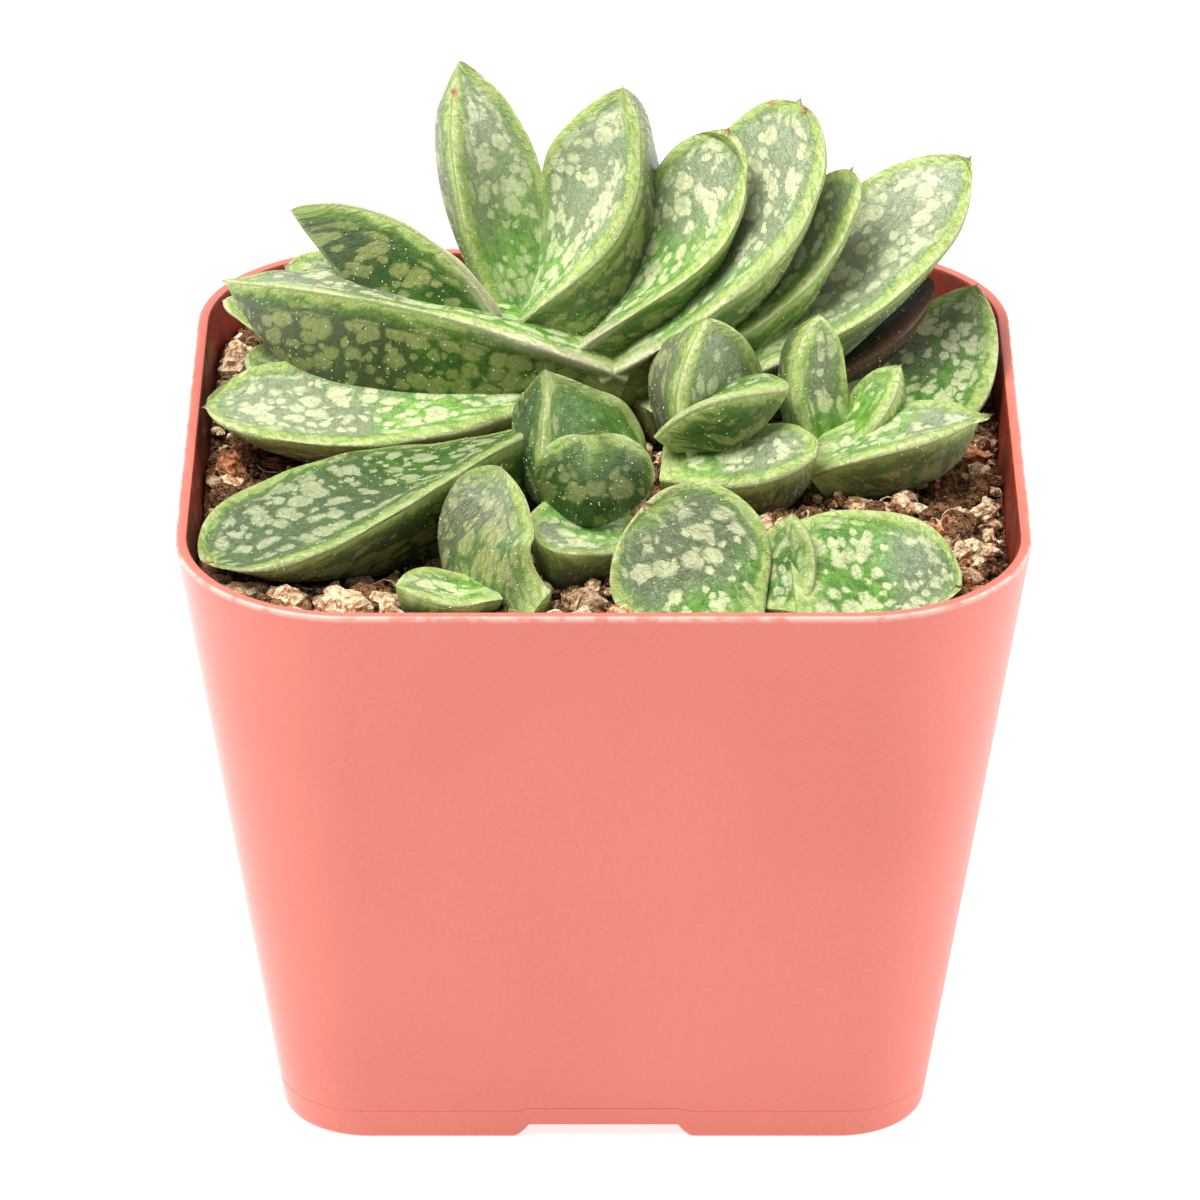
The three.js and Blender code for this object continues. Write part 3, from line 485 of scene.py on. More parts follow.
class Leaf:
    """One leaf of the table, in the same formula as the CAD solid."""

    def __init__(self, size):
        self.size = size
        lift = np.array([0, 0, POT_HEIGHT], float)
        self.base = np.array(size["base"], float) + lift
        tip = np.array(size["tip"], float) + lift
        self.reach = tip - self.base
        self.length = np.linalg.norm(self.reach)
        self.axis = self.reach / self.length
        face = np.array(size["face"], float)
        face_tip = np.array(size["face_tip"], float)
        up = face + face_tip
        self.up = unit(up - self.axis * up.dot(self.axis))
        self.side = np.cross(self.axis, self.up)
        self.bend = self.up * size["bow"] + self.side * size["sway"]
        self.face = unit(face)
        self.face_tip = unit(face_tip)

    def middle(self, along):
        """The leaf's middle line, at shares of the way from base to tip."""
        arch = 4 * along * (1 - along)
        return self.base + self.reach * along[..., None] + self.bend * arch[..., None]

    def directions(self, along):
        """The tangent, the way the face looks, and the way to the right margin."""
        tangent = unit(self.reach + self.bend * (4 * (1 - 2 * along))[..., None])
        blend = (along * along * (3 - 2 * along))[..., None]
        up = self.face * (1 - blend) + self.face_tip * blend
        up = unit(up - tangent * (up * tangent).sum(-1, keepdims=True))
        return tangent, up, np.cross(tangent, up)

    def width_share(self, along):
        broad_at, foot = self.size["broad_at"], self.size["foot"]
        swell = np.sin(np.pi / 2 * np.clip(along / broad_at, 0, 1)) ** 1.3
        past = np.clip((along - broad_at) / (1 - broad_at), 0, 1)
        closing = np.maximum(0, 1 - past ** 2) ** self.size["blunt"]
        return np.where(along < broad_at, foot + (1 - foot) * swell, closing)

    def depth_share(self, along):
        deepest, heel = self.size["deepest"], self.size["heel"]
        rise = heel + (1 - heel) * np.sin(np.pi / 2 * np.clip(along / deepest, 0, 1))
        past = np.clip((along - deepest) / (1 - deepest), 0, 1)
        return np.where(along < deepest, rise, np.maximum(0, 1 - past ** 2.2) ** 0.9)

    def rings(self):
        """The points of the skin, ring by ring, where each is along, and how far it is wing."""
        size = self.size
        share = (1 - np.cos(np.linspace(0, np.pi, RINGS))) / 2
        along = (share * LAST_RING)[:, None]
        middle = self.middle(along)
        _, up, side = self.directions(along)
        widths = self.width_share(along)
        half = size["width"] / 2 * widths
        depth = size["depth"] * self.depth_share(along)
        keel = size["keel"] * np.minimum(1, along * 6)
        sharpness = 2.1 - 0.5 * along
        near_tip = np.minimum(1, (1 - along) * 6 + 0.15)
        edge = MARGIN_THICKNESS / 2 * np.minimum(1, 0.4 + widths) * near_tip
        dish = FACE_DISH * half * np.minimum(1, 2 * along + 0.2)

        def margin(across):
            return edge * np.sqrt(np.maximum(0, 1 - np.abs(across) ** 6))

        over = -np.cos(np.linspace(0, np.pi, FACE_STEPS + 1))[None, :] + 0 * along
        turn = np.linspace(0, np.pi / 2, FLANK_STEPS + 1)[None, 1:]
        right = keel + (1 - keel) * np.cos(turn)
        left = keel - (1 + keel) * np.sin(turn[:, :-1])
        below = np.concatenate([right, left], 1)
        run = np.where(below < keel, (keel - below) / (1 + keel), (below - keel) / (1 - keel))
        rim = MARGIN_BEAD * np.exp(-((1 - np.abs(over)) * half / BEAD_REACH) ** 2) * near_tip
        upper = margin(over) - dish * (1 - over ** 2) + rim
        lower = -depth * (1 - np.abs(run) ** sharpness) - margin(below)
        across = np.concatenate([over, below], 1)
        height = np.concatenate([upper, lower], 1)
        wing = np.clip((np.abs(across) - WING_FROM) / (1 - WING_FROM), 0, 1) ** 2
        wing = wing * np.exp(-((along - WING_AT) / WING_REACH) ** 2)
        wing = wing * (size["wing"] > 0)
        reach = across * half + np.sign(across) * wing * size["wing"]
        height = height * (1 - 0.6 * wing)
        points = middle + side * reach[..., None] + up * height[..., None]
        return points, along, wing

    def skin(self, seed):
        """Vertices, faces and attributes of the whole leaf, uneven in the seed's own way."""
        points, along, wing = self.rings()
        points = ripple(points, seed)
        ring_size = points.shape[1]
        is_under = np.zeros((RINGS, ring_size))
        is_under[:, FACE_STEPS + 1:] = 1

        step = np.linalg.norm(np.roll(points, -1, 1) - points, axis=-1)
        travel = np.cumsum(step, 1) - step
        whole = step.sum(1, keepdims=True)
        right = travel[:, FACE_STEPS:FACE_STEPS + 1]
        on_face = np.minimum(travel, right - travel)
        on_flank = np.minimum(travel - right, whole - travel)
        edge = np.where(is_under > 0, on_flank, on_face)
        keel_column = FACE_STEPS + FLANK_STEPS
        keel = np.abs(travel - travel[:, keel_column:keel_column + 1])
        keel = np.where(is_under > 0, keel, FAR_FROM_KEEL)
        nearness = np.maximum(0, 1 - along) * self.length
        edge = np.minimum(edge, nearness + 0.25)
        across = np.where(is_under > 0, travel - whole, travel - right / 2)
        forward = np.linalg.norm(np.diff(points, axis=0), axis=-1)
        length = np.concatenate([0 * travel[:1], np.cumsum(forward, 0)])
        if self.size["end_on"]:
            from_base = points - self.base
            across = from_base @ self.side
            length = from_base @ (0.8 * self.up + 0.6 * self.axis)
        apart_across, apart_along = PATTERNS_APART[0] * seed, PATTERNS_APART[1] * seed
        surface = np.stack([across + apart_across, length + apart_along, 0 * travel], -1)
        zones = np.stack([edge, keel, along + 0 * travel], -1)

        mucro = self.mucro(points[-1])
        vertices = np.concatenate([points.reshape(-1, 3), mucro[:-1].reshape(-1, 3)])
        extra = len(mucro) - 1
        surface, zones, is_under, wing = (
            extend(rows, extra) for rows in (surface, zones, is_under, wing))
        horn = np.zeros(is_under.shape)
        horn[RINGS:] = np.linspace(0, 1, extra + 1)[1:, None] ** 0.7
        start, end = self.middle(np.zeros(1))[0], mucro[-1][0]
        vertices = np.concatenate([[start], vertices, [end]])
        faces = loft_faces(RINGS + extra, ring_size)
        facts = {
            "surface": np.concatenate([surface[0, :1], surface.reshape(-1, 3), surface[-1, :1]]),
            "zones": np.concatenate([zones[0, :1], zones.reshape(-1, 3), np.zeros((1, 3))]),
            "under": np.concatenate([[0.5], is_under.ravel(), [0.5]]),
            "wing": np.concatenate([[0.0], wing.ravel(), [0.0]]),
            "horn": np.concatenate([[0.0], horn.ravel(), [1.0]]),
        }
        return vertices, faces, facts

    def on_face(self, along, across):
        """A point of the upper side."""
        along = np.array([along])
        _, _, side = self.directions(along)
        half = self.size["width"] / 2 * self.width_share(along)
        return (self.middle(along) + side * across * half[:, None])[0]

    def mucro(self, last):
        """Rings that draw the leaf's end out into its short sharp tip."""
        end = self.middle(np.ones(1))[0]
        forward = unit(end - self.middle(np.array([0.95]))[0])
        point = end + forward * TIP_LENGTH
        centre = last.mean(0)
        rings = []
        for share in np.linspace(0, 1, TIP_STEPS + 1)[1:]:
            middle = centre + (point - centre) * share
            rings.append(middle + (last - centre) * (1 - share) ** 1.7)
        return np.array(rings)


def extend(rows, extra):
    """rows, with the last one repeated."""
    return np.concatenate([rows, np.repeat(rows[-1:], extra, 0)])


def loft_faces(ring_count, ring_size):
    """Faces over rings of points that follow a first point and come before a last one."""
    faces = []
    for step in range(ring_size):
        after = (step + 1) % ring_size
        faces.append((0, 1 + after, 1 + step))
        for ring in range(ring_count - 1):
            low, high = 1 + ring * ring_size, 1 + (ring + 1) * ring_size
            faces.append((low + step, low + after, high + after, high + step))
        last = 1 + (ring_count - 1) * ring_size
        faces.append((last + step, last + after, 1 + ring_count * ring_size))
    return faces


def ripple(points, seed):
    """Points pushed along the skin by the slow unevenness of a grown thing."""
    around = np.roll(points, -1, 1) - np.roll(points, 1, 1)
    ahead = np.gradient(points, axis=0)
    outward = np.cross(around, ahead)
    size = np.linalg.norm(outward, axis=-1, keepdims=True)
    outward = outward / np.maximum(size, 1e-9)
    random = np.random.default_rng(seed + 100)
    push = np.zeros(points.shape[:2])
    for scale in RIPPLE_SCALES:
        for _ in range(2):
            direction = unit(random.normal(size=3)) * scale
            height = RIPPLE_HEIGHT / scale ** 0.7
            push += height * np.sin(points @ direction + random.uniform(0, 6.28))
    return points + outward * push[..., None]


def wall_at(height):
    """Half the width and the corner radius of the pot's outside at a height."""
    share = np.asarray(height) / POT_HEIGHT
    half = FOOT_WIDTH / 2 + (RIM_WIDTH - FOOT_WIDTH) / 2 * share
    radius = FOOT_CORNER_RADIUS + (RIM_CORNER_RADIUS - FOOT_CORNER_RADIUS) * share
    return half, radius


def keep_in_pot(points, clearance):
    """Points below the rim that stand in the pot's wall or beyond, moved in until they're clear."""
    half, radius = wall_at(points[:, 2])
    half, radius = half - WALL - clearance, radius - WALL - clearance
    corner = half - radius
    sign = np.where(points[:, :2] < 0, -1.0, 1.0)
    out = np.abs(points[:, :2]) - corner[:, None]
    outside = np.maximum(out, 0)
    far = np.linalg.norm(outside, axis=1)
    beyond = far + np.minimum(out.max(1), 0) - radius
    toward = np.where(far[:, None] > 1e-9, outside / np.maximum(far, 1e-9)[:, None],
                      (out == out.max(1, keepdims=True)).astype(float))
    low = points[:, 2] < POT_HEIGHT + clearance
    shift = np.where(low & (beyond > 0), beyond, 0)
    moved = points.copy()
    moved[:, :2] -= sign * toward * shift[:, None]
    return moved


# ---- Meshes

def linked(name, data):
    """A new object in the scene."""
    made = bpy.data.objects.new(name, data)
    bpy.context.scene.collection.objects.link(made)
    return made


def mesh_object(name, vertices, faces, material, attributes=(), smooth=True):
    """An object from millimetre vertices, riding on the part's one body."""
    mesh = bpy.data.meshes.new(name)
    mesh.from_pydata((np.asarray(vertices) * MM).tolist(), [], faces)
    for key, values in dict(attributes).items():
        values = np.asarray(values, np.float32)
        kind = "FLOAT" if values.ndim == 1 else "FLOAT_VECTOR"
        field = "value" if values.ndim == 1 else "vector"
        made = mesh.attributes.new(key, kind, "POINT")
        made.data.foreach_set(field, values.ravel())
    mesh.polygons.foreach_set("use_smooth", [smooth] * len(mesh.polygons))
    mesh.materials.append(material)
    mesh.update()
    made = linked(name, mesh)
    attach(made, "root")
    return made


def make_leaves(material):
    """The fine skin of every leaf of the table, in place of its CAD solid."""
    leaves = []
    for plant, rows in PLANTS.items():
        for index, size in enumerate(rows):
            node = f"{plant}_leaf_{index + 1:02d}"
            shape = Leaf(size)
            vertices, faces, facts = shape.skin(len(leaves) + 1)
            vertices = keep_in_pot(vertices, LEAF_CLEARANCE)
            facts["tone"] = np.tile(size["look"], (len(vertices), 1))
            # How far painted shade darkens the upper side and the underside of this leaf.
            face_deep, flank_deep = size["deep"]
            facts["deep"] = face_deep + (flank_deep - face_deep) * facts["under"]
            scar = facts.pop("horn") * (1 - 0.3 * size["dry"])
            for along, across, radius in size["scars"]:
                away = np.linalg.norm(vertices - shape.on_face(along, across), axis=1)
                scar = np.maximum(scar, np.clip(1.5 * (1 - away / radius), 0, 1))
            marks = [scar * 0 + size["ridged"], scar * 0 + size["dry"], scar]
            facts["marks"] = np.stack(marks, -1)
            made = mesh_object(f"{node}_skin", vertices, faces, material, facts)
            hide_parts(node)
            leaves.append(made)
    return leaves


def tubercle_material():
    s = Shader("tubercle")
    tone = s.noise(s.place(), 1.5, 1)
    colour = s.mix(s.fade(tone, 0.35, 0.65), DOT_WHITE, DOT_GREEN)
    return s.finish({"Base Color": colour, "Roughness": 0.4, "Coat Weight": 0.3})


def make_tubercles(material, leaves):
    """Tiny closed bumps, strewn over the skins of all leaves and fused into one mesh."""
    random = np.random.default_rng(9)
    turn = np.arange(4) * math.pi / 2
    ring = np.stack([np.cos(turn), np.sin(turn), 0 * turn], -1)
    bump = np.concatenate([[[0, 0, 0.7]], ring, [[0, 0, -0.6]]])
    sides = [(0, 1 + i, 1 + (i + 1) % 4) for i in range(4)]
    sides += [(5, 1 + (i + 1) % 4, 1 + i) for i in range(4)]
    vertices, faces = [], []
    for leaf in leaves:
        polygons = leaf.data.polygons
        areas, centres, normals = (np.empty(len(polygons) * size) for size in (1, 3, 3))
        polygons.foreach_get("area", areas)
        polygons.foreach_get("center", centres)
        polygons.foreach_get("normal", normals)
        centres, normals = centres.reshape(-1, 3) / MM, normals.reshape(-1, 3)
        count = int(areas.sum() / MM ** 2 * TUBERCLES_PER_SQUARE)
        picked = random.choice(len(polygons), count, p=areas / areas.sum())
        for place, up in zip(centres[picked], normals[picked]):
            across = unit(np.cross(up, (0.31, 0.67, 0.68)))
            size = random.uniform(*TUBERCLE_RADII)
            turning = np.stack([across, np.cross(up, across), up])
            start = len(vertices) * len(bump)
            vertices.append(place + bump * size @ turning)
            faces += [tuple(start + i for i in side) for side in sides]
    return mesh_object("leaf_tubercles", np.concatenate(vertices), faces, material)


# ---- Pot

def quarter(count):
    """Angles from 0 to a quarter turn."""
    return np.linspace(0, 1, count) * math.pi / 2


def square_ring(half, radius, height):
    """Points of a square with round corners, by the columns that every ring of the pot shares."""
    centre = half - radius
    points = []
    for corner in range(4):
        turn = corner * math.pi / 2
        middle = centre * math.sqrt(2)
        at = (middle * math.cos(turn + math.pi / 4), middle * math.sin(turn + math.pi / 4))
        for angle in turn + quarter(ARC_STEPS + 1):
            points.append((at[0] + radius * math.cos(angle), at[1] + radius * math.sin(angle)))
        start = np.array(points[-1])
        run = np.array([-math.sin(turn + math.pi / 2), math.cos(turn + math.pi / 2)])
        for place in SIDE_PLACES[1:-1]:
            points.append(tuple(start + run * centre * (1 + place)))
    points = np.array(points)
    return np.column_stack([points, np.full(len(points), height)])


def side_shares():
    """For each column of the pot's rings, how far along its side it is, from -1 to 1."""
    past_the_side = 2.0
    one_side = [past_the_side] * (ARC_STEPS + 1) + list(SIDE_PLACES[1:-1])
    return np.abs(np.array(one_side * 4))


def notch_height():
    """How far the foot is cut away at each column."""
    lateral = side_shares() * (FOOT_WIDTH / 2 - FOOT_CORNER_RADIUS)
    top, foot = NOTCH_TOP_WIDTH / 2, NOTCH_FOOT_WIDTH / 2
    share = np.clip((foot - lateral) / (foot - top), 0, 1)
    return NOTCH_HEIGHT * share ** 1.7


def pot_rings():
    """Rings from the recess under the floor, round the foot, up the outside, and down inside."""
    cut = notch_height()
    inner_half = FOOT_WIDTH / 2 - FOOT_RING_WIDTH
    rings = []

    def foot(half, radius, height):
        ring = square_ring(half, radius, height)
        room = FOOT_RING_HEIGHT - height
        ring[:, 2] = height + cut * room / FOOT_RING_HEIGHT
        rings.append(ring)

    def wall(inset, height, lift=0.0):
        half, radius = wall_at(height)
        ring = square_ring(half - inset, radius - inset, height + lift)
        fading = np.clip(1 - height / 3, 0, 1)
        ring[:, 2] += cut * fading
        rings.append(ring)

    for inset in (4, 2, 0.5, 0.1):
        foot(inner_half - inset, FOOT_RING_CORNER_RADIUS, FOOT_RING_HEIGHT)
    foot(inner_half, FOOT_RING_CORNER_RADIUS, FOOT_RING_HEIGHT - 0.1)
    foot(inner_half, FOOT_RING_CORNER_RADIUS, 0.1)
    foot(inner_half + 0.1, FOOT_RING_CORNER_RADIUS, 0.0)
    for angle in quarter(5):
        wall(FOOT_ROUND * (1 - math.sin(angle)), FOOT_ROUND * (1 - math.cos(angle)))
    for height in (0.6, 1, 1.4, 1.8, 2.1, 2.2, 2.25, 2.3, 2.35, 2.4, 2.5, 2.8, 3.5, 5, 8, 12, 16,
                   20, 24, 28, 32, 36, 39, 41, 42, 42.6, 43):
        wall(GROOVE_DEPTH * math.exp(-((height - GROOVE_HEIGHT) / GROOVE_REACH) ** 2), height)
    under_rim = POT_HEIGHT - RIM_ROUND
    for angle in quarter(6):
        wall(RIM_ROUND * (1 - math.cos(angle)), under_rim + RIM_ROUND * math.sin(angle))
    for angle in quarter(6):
        wall(WALL - RIM_ROUND * (1 - math.sin(angle)), under_rim + RIM_ROUND * math.cos(angle))
    for height in (42.5, 41, 39, 36, 30, 20, 10, 5, 3.2):
        wall(WALL, height)
    half, radius = wall_at(FLOOR_TOP)
    for angle in quarter(5)[1:]:
        inset = WALL + 1 - math.cos(angle)
        rings.append(square_ring(half - inset, radius - inset, FLOOR_TOP + 1 - math.sin(angle)))
    for inset in (4, 8, 12):
        rings.append(square_ring(half - inset, max(1.5, radius - inset), FLOOR_TOP))
    return rings


def drain_cutter():
    """Four rods through the pot's floor."""
    mesh = bpy.data.meshes.new("drain_cutter")
    cutter = bmesh.new()
    radius = DRAIN_RADIUS * MM
    for x in (-DRAIN_OFFSET, DRAIN_OFFSET):
        for y in (-DRAIN_OFFSET, DRAIN_OFFSET):
            made = bmesh.ops.create_cone(cutter, cap_ends=True, segments=40, radius1=radius,
                                         radius2=radius, depth=8 * MM)
            bmesh.ops.translate(cutter, verts=made["verts"],
                                vec=(x * MM, y * MM, FLOOR_TOP / 2 * MM))
    cutter.to_mesh(mesh)
    cutter.free()
    return linked("drain_cutter", mesh)


def wall_inset(points):
    """How far points lie inside the pot's outer wall."""
    half, radius = wall_at(points[:, 2])
    out = np.abs(points[:, :2]) - (half - radius)[:, None]
    return radius - np.linalg.norm(np.maximum(out, 0), axis=1) - np.minimum(out.max(1), 0)


def make_pot(material, inside_material):
    """The pot's shell with drain holes, its rim's wear and painted highlight, and what counts as
    inside.
    """
    rings = pot_rings()
    vertices = np.concatenate([[[0, 0, FOOT_RING_HEIGHT]], *rings, [[0, 0, FLOOR_TOP]]])
    faces = loft_faces(len(rings), len(rings[0]))
    made = mesh_object("pot_shell", vertices, faces, material)
    cutter = drain_cutter()
    modifier = made.modifiers.new("drain", "BOOLEAN")
    modifier.operation = "DIFFERENCE"
    modifier.object = cutter
    modifier.solver = "EXACT"
    graph = bpy.context.evaluated_depsgraph_get()
    cut = bpy.data.meshes.new_from_object(made.evaluated_get(graph))
    made.modifiers.clear()
    made.data = cut
    bpy.data.objects.remove(cutter)
    places = np.array([vertex.co[:] for vertex in cut.vertices]) / MM
    inset = wall_inset(places)
    # A pale line along the rim's outer edge: part wear, part painted highlight.
    wear_and_highlight = np.exp(-((inset - 0.07) / 0.1) ** 2) * (places[:, 2] > POT_HEIGHT - 0.25)
    attribute = cut.attributes.new("wear_and_highlight", "FLOAT", "POINT")
    attribute.data.foreach_set("value", wear_and_highlight.astype(np.float32))
    cut.materials.append(inside_material)
    # Faces inside the pot take the second material, whose dark red is painted shade.
    for polygon in cut.polygons:
        centre = np.array(polygon.center[:])[None] / MM
        is_inside = wall_inset(centre)[0] > WALL - 0.1 and centre[0, 2] > FLOOR_TOP - 0.1
        polygon.material_index = 1 if is_inside else 0
    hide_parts("pot")


def pot_material():
    s = Shader("pot_plastic")
    place = s.place()
    broad = s.noise(place, 0.06, 1)
    speckle = s.noise(place, 3.2, 1)
    colour = s.mix(s.fade(broad, 0.3, 0.7), srgb(210, 107, 90), srgb(216, 112, 95))
    colour = s.mix(s.fade(speckle, 0.35, 0.75, 0.0, 0.12), colour, srgb(220, 146, 130))
    # The pale nicked line on the rim's edge: part wear, part painted highlight.
    nicks = s.fade(s.noise(place, 0.9, 3), 0.38, 0.55, 0.35, 1.0)
    wear_and_highlight = s.times(s.attribute("wear_and_highlight", "Fac"), nicks)
    colour = s.mix(s.times(wear_and_highlight, 0.6), colour, srgb(255, 226, 214))
    return s.finish({
        "Base Color": colour,
        "Roughness": s.fade(speckle, 0.3, 0.7, 0.4, 0.5),
        "Normal": s.bump(s.times(speckle, 0.014)),
        "Specular IOR Level": 0.5,
        "Coat Weight": 0.12,
        "Coat Roughness": 0.3,
        "Sheen Weight": 0.4,
        "Sheen Roughness": 0.35,
    })


def pot_inside_material():
    s = Shader("pot_inside")
    place = s.place()
    stained = s.noise(place, 0.5, 4, 0.6)
    # The deep dark red is painted shade inside the pot over the plastic's own colour; the noise
    # between the two tones is mottling.
    colour = s.mix(s.fade(stained, 0.35, 0.65), srgb(134, 42, 28), srgb(100, 38, 24))
    return s.finish({
        "Base Color": colour,
        "Roughness": s.fade(stained, 0.3, 0.7, 0.45, 0.6),
        "Normal": s.bump(s.times(stained, 0.08)),
        "Specular IOR Level": 0.3,
    })


# ---- Soil

def soil_height(x, y):
    """The height of the settled soil, which is rough and has its hollows."""
    x, y = np.asarray(x, float), np.asarray(y, float)
    broad = np.sin(0.55 * x + 1.3) * np.cos(0.5 * y - 0.4)
    middling = np.sin(1.3 * x - 0.7 * y + 2)
    fine = np.sin(2.4 * x + 1.9 * y) * np.cos(1.8 * y - 0.9 * x)
    height = RELIEF_HEIGHT * (0.9 * broad + 0.6 * middling + 0.5 * fine)
    for (at_x, at_y), (reach_x, reach_y), depth in HOLLOWS:
        away = ((x - at_x) / reach_x) ** 2 + ((y - at_y) / reach_y) ** 2
        height = height - depth * np.exp(-away)
    return SOIL_TOP + height


def make_soil(material):
    """The bed: a block that fills the pot, with a rough top."""
    half, radius = wall_at(SOIL_TOP)
    inset = WALL + 0.1
    outline = square_ring(half - inset, radius - inset, SOIL_TOP)
    rings = [square_ring(wall_at(3)[0] - inset, wall_at(3)[1] - inset, SOIL_FOOT)]
    for step in range(SOIL_RINGS, 0, -1):
        ring = outline * (step / SOIL_RINGS)
        rough = np.array([noise.fractal(Vector((x * 0.9, y * 0.9, 4)), 0.8, 2, 4)
                          for x, y, _ in ring])
        ring[:, 2] = soil_height(ring[:, 0], ring[:, 1]) + 0.35 * rough - 0.35
        rings.append(ring)
    vertices = np.concatenate([[[0, 0, SOIL_FOOT]], *rings, [[0, 0, float(soil_height(0, 0))]]])
    # The bed lies between the crumbs and takes the darkest colours: the bark's own dark with painted
    # shade of the gaps.
    tint = np.tile((0.0, 0.05, 0), (len(vertices), 1))
    made = mesh_object("soil_bed", vertices, loft_faces(len(rings), len(outline)), material,
                       {"tint": tint})
    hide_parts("soil")


def soil_material():
    """tint holds how pale and how red a crumb is."""
    s = Shader("soil_crumb")
    place = s.place()
    paleness, redness, _ = s.parts(s.attribute("tint"))
    grain = s.noise(place, 2.2, 3, 0.65)
    fine = s.noise(place, 7.0, 2, 0.6)
    # The darkest end, near black, is the bark's own dark with painted shade of the gaps between
    # crumbs.
    dark = s.mix(s.fade(grain, 0.4, 0.62), srgb(12, 8, 5), srgb(112, 76, 40))
    pale = s.mix(s.fade(grain, 0.38, 0.6), srgb(186, 128, 72), srgb(255, 240, 206))
    red = s.mix(s.fade(grain, 0.38, 0.62), srgb(120, 52, 26), srgb(250, 160, 108))
    colour = s.mix(s.fade(paleness, 0.1, 0.9), dark, pale)
    colour = s.mix(s.times(redness, 0.75), colour, red)
    colour = s.mix(s.fade(fine, 0.55, 0.72, 0.0, 0.6), colour, srgb(246, 206, 142))
    height = s.add(s.times(grain, 0.35), s.times(fine, 0.16))
    return s.finish({
        "Base Color": colour,
        "Roughness": s.fade(fine, 0.3, 0.7, 0.75, 0.95),
        "Normal": s.bump(height),
        "Specular IOR Level": 0.3,
    })


def stem_material():
    s = Shader("stem_bark")
    place = s.place()
    rings = s.noise(s.vector("MULTIPLY", place, (0.6, 0.6, 3.0)), 1.2, 3)
    colour = s.mix(s.fade(rings, 0.35, 0.65), srgb(150, 142, 88), srgb(188, 184, 128))
    return s.finish({
        "Base Color": colour,
        "Roughness": 0.7,
        "Normal": s.bump(s.times(rings, 0.2)),
    })


def crumb_shape(random, detail):
    """A broken lump of about unit radius."""
    lump = bmesh.new()
    bmesh.ops.create_icosphere(lump, subdivisions=detail, radius=1)
    offset = Vector(random.uniform(-50, 50, 3))
    for vertex in lump.verts:
        direction = vertex.co.normalized()
        rough = noise.fractal(direction * 1.3 + offset, 0.7, 2, 4)
        flat = noise.cell(direction * 1.2 + offset)
        vertex.co = direction * (1 + 0.45 * rough + 0.12 * flat)
    lump.verts.ensure_lookup_table()
    points = np.array([vertex.co[:] for vertex in lump.verts])
    faces = [tuple(v.index for v in face.verts) for face in lump.faces]
    lump.free()
    return points, faces


def bark_tint(random):
    """How pale and how red a bark crumb is: dark, brown, pale or red."""
    kind, much = random.random(), random.random()
    if kind < 0.55:
        return 0.2 * much, 0.2 * much
    if kind < 0.76:
        return 0.45 + 0.3 * much, 0.4 * much
    if kind < 0.91:
        return 0.85 + 0.15 * much, 0.2 * much
    return 0.3, 0.7 + 0.3 * much


def grit_tint(random):
    """How pale and how red a lump of pumice is."""
    return random.uniform(0.75, 1.0), random.uniform(0, 0.35)


def turned(points, random):
    """points, turned at random, with the long side kept mostly level."""
    z, tilt = random.uniform(0, 2 * math.pi), random.normal(0, 0.5)
    c, s = math.cos(z), math.sin(z)
    ct, st = math.cos(tilt), math.sin(tilt)
    tilting = np.array([[1, 0, 0], [0, ct, -st], [0, st, ct]])
    turning = np.array([[c, -s, 0], [s, c, 0], [0, 0, 1]])
    return points @ (turning @ tilting).T


def tree_of(objects):
    """One search tree over the faces of several objects, in millimetres."""
    vertices, faces = [], []
    for made in objects:
        start = len(vertices)
        vertices += [vertex.co / MM for vertex in made.data.vertices]
        faces += [[start + i for i in polygon.vertices] for polygon in made.data.polygons]
    return BVHTree.FromPolygons(vertices, faces)


def inside(tree, point):
    """Whether a point is inside the closed skins of the tree."""
    place, normal, _, _ = tree.find_nearest(point)
    return place is not None and (Vector(point) - place).dot(normal) < 0


class Heap:
    """Loose closed shapes of the soil, fused into one mesh."""

    def __init__(self):
        self.total = 0
        self.vertices, self.faces, self.tints = [], [], []

    def add(self, points, faces, paleness, redness):
        self.vertices.append(points)
        self.faces += [tuple(self.total + i for i in face) for face in faces]
        self.tints.append(np.tile((paleness, redness, 0), (len(points), 1)))
        self.total += len(points)

    def finish(self, name, material, smooth=True):
        return mesh_object(name, np.concatenate(self.vertices), self.faces, material,
                           {"tint": np.concatenate(self.tints)}, smooth)


def make_crumbs(name, material, tree, tint_of, count, sizes, seed, detail=2, squash=0.7,
                shapes=24, places=()):
    """Loose lumps on the soil, at the places and then strewn, clear of the leaves in the tree."""
    random = np.random.default_rng(seed)
    stock = [crumb_shape(random, detail) for _ in range(shapes)]
    heap = Heap()
    wanted = list(places)
    for _ in range(count):
        x, y = random.uniform(-LUMP_REACH, LUMP_REACH, 2)
        wanted.append((x, y, sizes[0] + (sizes[1] - sizes[0]) * random.random() ** 1.6))
    for x, y, radius in wanted:
        points, shape_faces = stock[random.integers(len(stock))]
        stretch = np.array([1.25, 0.9, squash]) * random.uniform(0.7, 1.35, 3) * radius
        points = turned(points * stretch, random)
        paleness, redness = tint_of(random)
        z = float(soil_height(x, y)) + radius * squash * random.uniform(-0.1, 0.55)
        place = np.array([x, y, z])
        if wall_inset(place[None])[0] - WALL < radius * 1.15:
            continue
        if tree.find_nearest(place)[3] < radius * 1.05 or inside(tree, place):
            continue
        heap.add(points + place, shape_faces, paleness, redness)
    heap.finish(name, material, smooth=False)


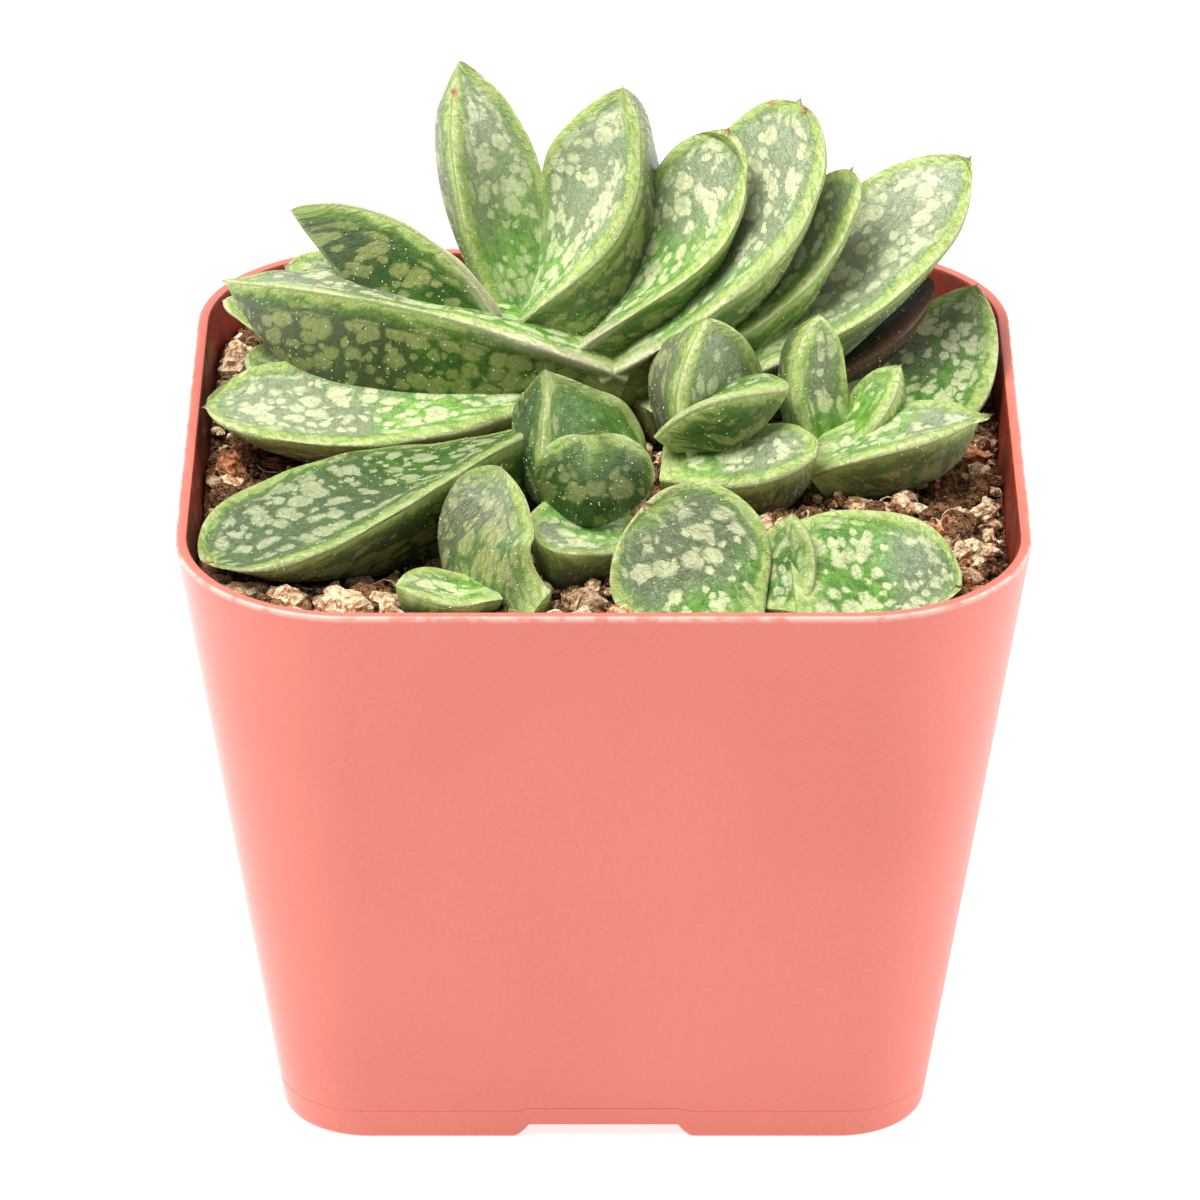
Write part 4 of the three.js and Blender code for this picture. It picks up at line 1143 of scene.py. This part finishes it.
def strand(points, radii):
    """The points of a thin tube along points."""
    tangents = unit(np.gradient(points, axis=0))
    guide = np.array([0.3, 0.2, 1.0])
    across = unit(np.cross(tangents, guide))
    other = np.cross(tangents, across)
    angle = np.linspace(0, 2 * math.pi, FIBRE_SIDES, endpoint=False)
    ring = (across[:, None] * np.cos(angle)[None, :, None]
            + other[:, None] * np.sin(angle)[None, :, None])
    body = points[:, None] + ring * radii[:, None, None]
    return np.concatenate([points[:1], body.reshape(-1, 3), points[-1:]])


def make_fibres(material, tree):
    """Thin roots that bow up from the soil between the crumbs."""
    random = np.random.default_rng(5)
    faces = loft_faces(FIBRE_STEPS, FIBRE_SIDES)
    heap = Heap()
    for _ in range(FIBRES):
        x, y = random.uniform(-FIBRE_REACH, FIBRE_REACH, 2)
        heading = random.uniform(0, 2 * math.pi)
        length = random.uniform(1.5, 5.5)
        curve = random.normal(0, 0.25)
        path = []
        rise = random.uniform(0.3, 1.0)
        for step in range(FIBRE_STEPS):
            path.append((x, y, float(soil_height(x, y)) + 0.25
                         + rise * math.sin(math.pi * step / (FIBRE_STEPS - 1))))
            heading += curve + random.normal(0, 0.15)
            x += math.cos(heading) * length / FIBRE_STEPS
            y += math.sin(heading) * length / FIBRE_STEPS
        path = np.array(path)
        if (wall_inset(path) - WALL).min() < 0.4:
            continue
        if any(tree.find_nearest(p)[3] < 0.25 or inside(tree, p) for p in path):
            continue
        radii = random.uniform(0.05, 0.12) * np.linspace(1, 0.5, FIBRE_STEPS)
        heap.add(strand(path, radii), faces, random.uniform(0.3, 0.9), random.uniform(0, 0.5))
    heap.finish("soil_fibres", material)


# ---- Stage

def stage_material():
    s = Shader("floor_paint")
    metres = s.node("ShaderNodeTexCoord").outputs["Object"]
    tone = s.noise(metres, 3.0, 0)
    colour = s.mix(s.fade(tone, 0.3, 0.7), srgb(188, 188, 188), srgb(192, 192, 192))
    return s.finish({"Base Color": colour, "Roughness": 0.9, "Specular IOR Level": 0.1,
                     "Emission Color": (1, 1, 1, 1), "Emission Strength": FLOOR_GLOW})


def make_stage():
    mesh = bpy.data.meshes.new("floor")
    mesh.from_pydata([(-3, -3, 0), (3, -3, 0), (3, 3, 0), (-3, 3, 0)], [], [(0, 1, 2, 3)])
    mesh.materials.append(stage_material())
    linked("floor", mesh)


def make_lights():
    world = bpy.data.worlds.new("studio")
    world.use_nodes = True
    background = world.node_tree.nodes["Background"]
    background.inputs[0].default_value = (1, 1, 1, 1)
    background.inputs[1].default_value = WORLD_LIGHT
    bpy.context.scene.world = world
    for name, (place, size, power) in LAMPS.items():
        data = bpy.data.lights.new(name, "AREA")
        data.shape = "RECTANGLE"
        data.size, data.size_y = size, size
        data.energy = power
        light = linked(name, data)
        light.location = place
        toward = Vector(LAMPS_AIM) - Vector(place)
        light.rotation_euler = toward.to_track_quat("-Z", "Y").to_euler()


def make_camera():
    data = bpy.data.cameras.new("camera")
    data.sensor_width = 36
    data.lens = CAMERA_LENS
    data.clip_start = 0.01
    camera = linked("camera", data)
    camera.location = CAMERA_PLACE
    camera.rotation_euler = (math.radians(CAMERA_PITCH), 0, 0)
    bpy.context.scene.camera = camera


# ---- Build

bpy.context.scene.view_settings.view_transform = "Standard"
make_camera()
make_stage()
make_lights()
leaves = make_leaves(leaf_material())
make_tubercles(tubercle_material(), leaves)
make_pot(pot_material(), pot_inside_material())
soil = soil_material()
make_soil(soil)
tree = tree_of(leaves)
make_crumbs("soil_crumbs", soil, tree, bark_tint, count=3700, sizes=(0.32, 1.2), seed=21)
make_crumbs("soil_fines", soil, tree, bark_tint, count=3000, sizes=(0.16, 0.5), seed=23)
make_crumbs("soil_grit", soil, tree, grit_tint, count=260, sizes=(0.5, 1.2), seed=22, detail=3,
            squash=0.8, shapes=14, places=PUMICE)
make_fibres(soil, tree)
stem = stem_material()
for name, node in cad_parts.items():
    if name.endswith("_stem"):
        node.data.materials.clear()
        node.data.materials.append(stem)
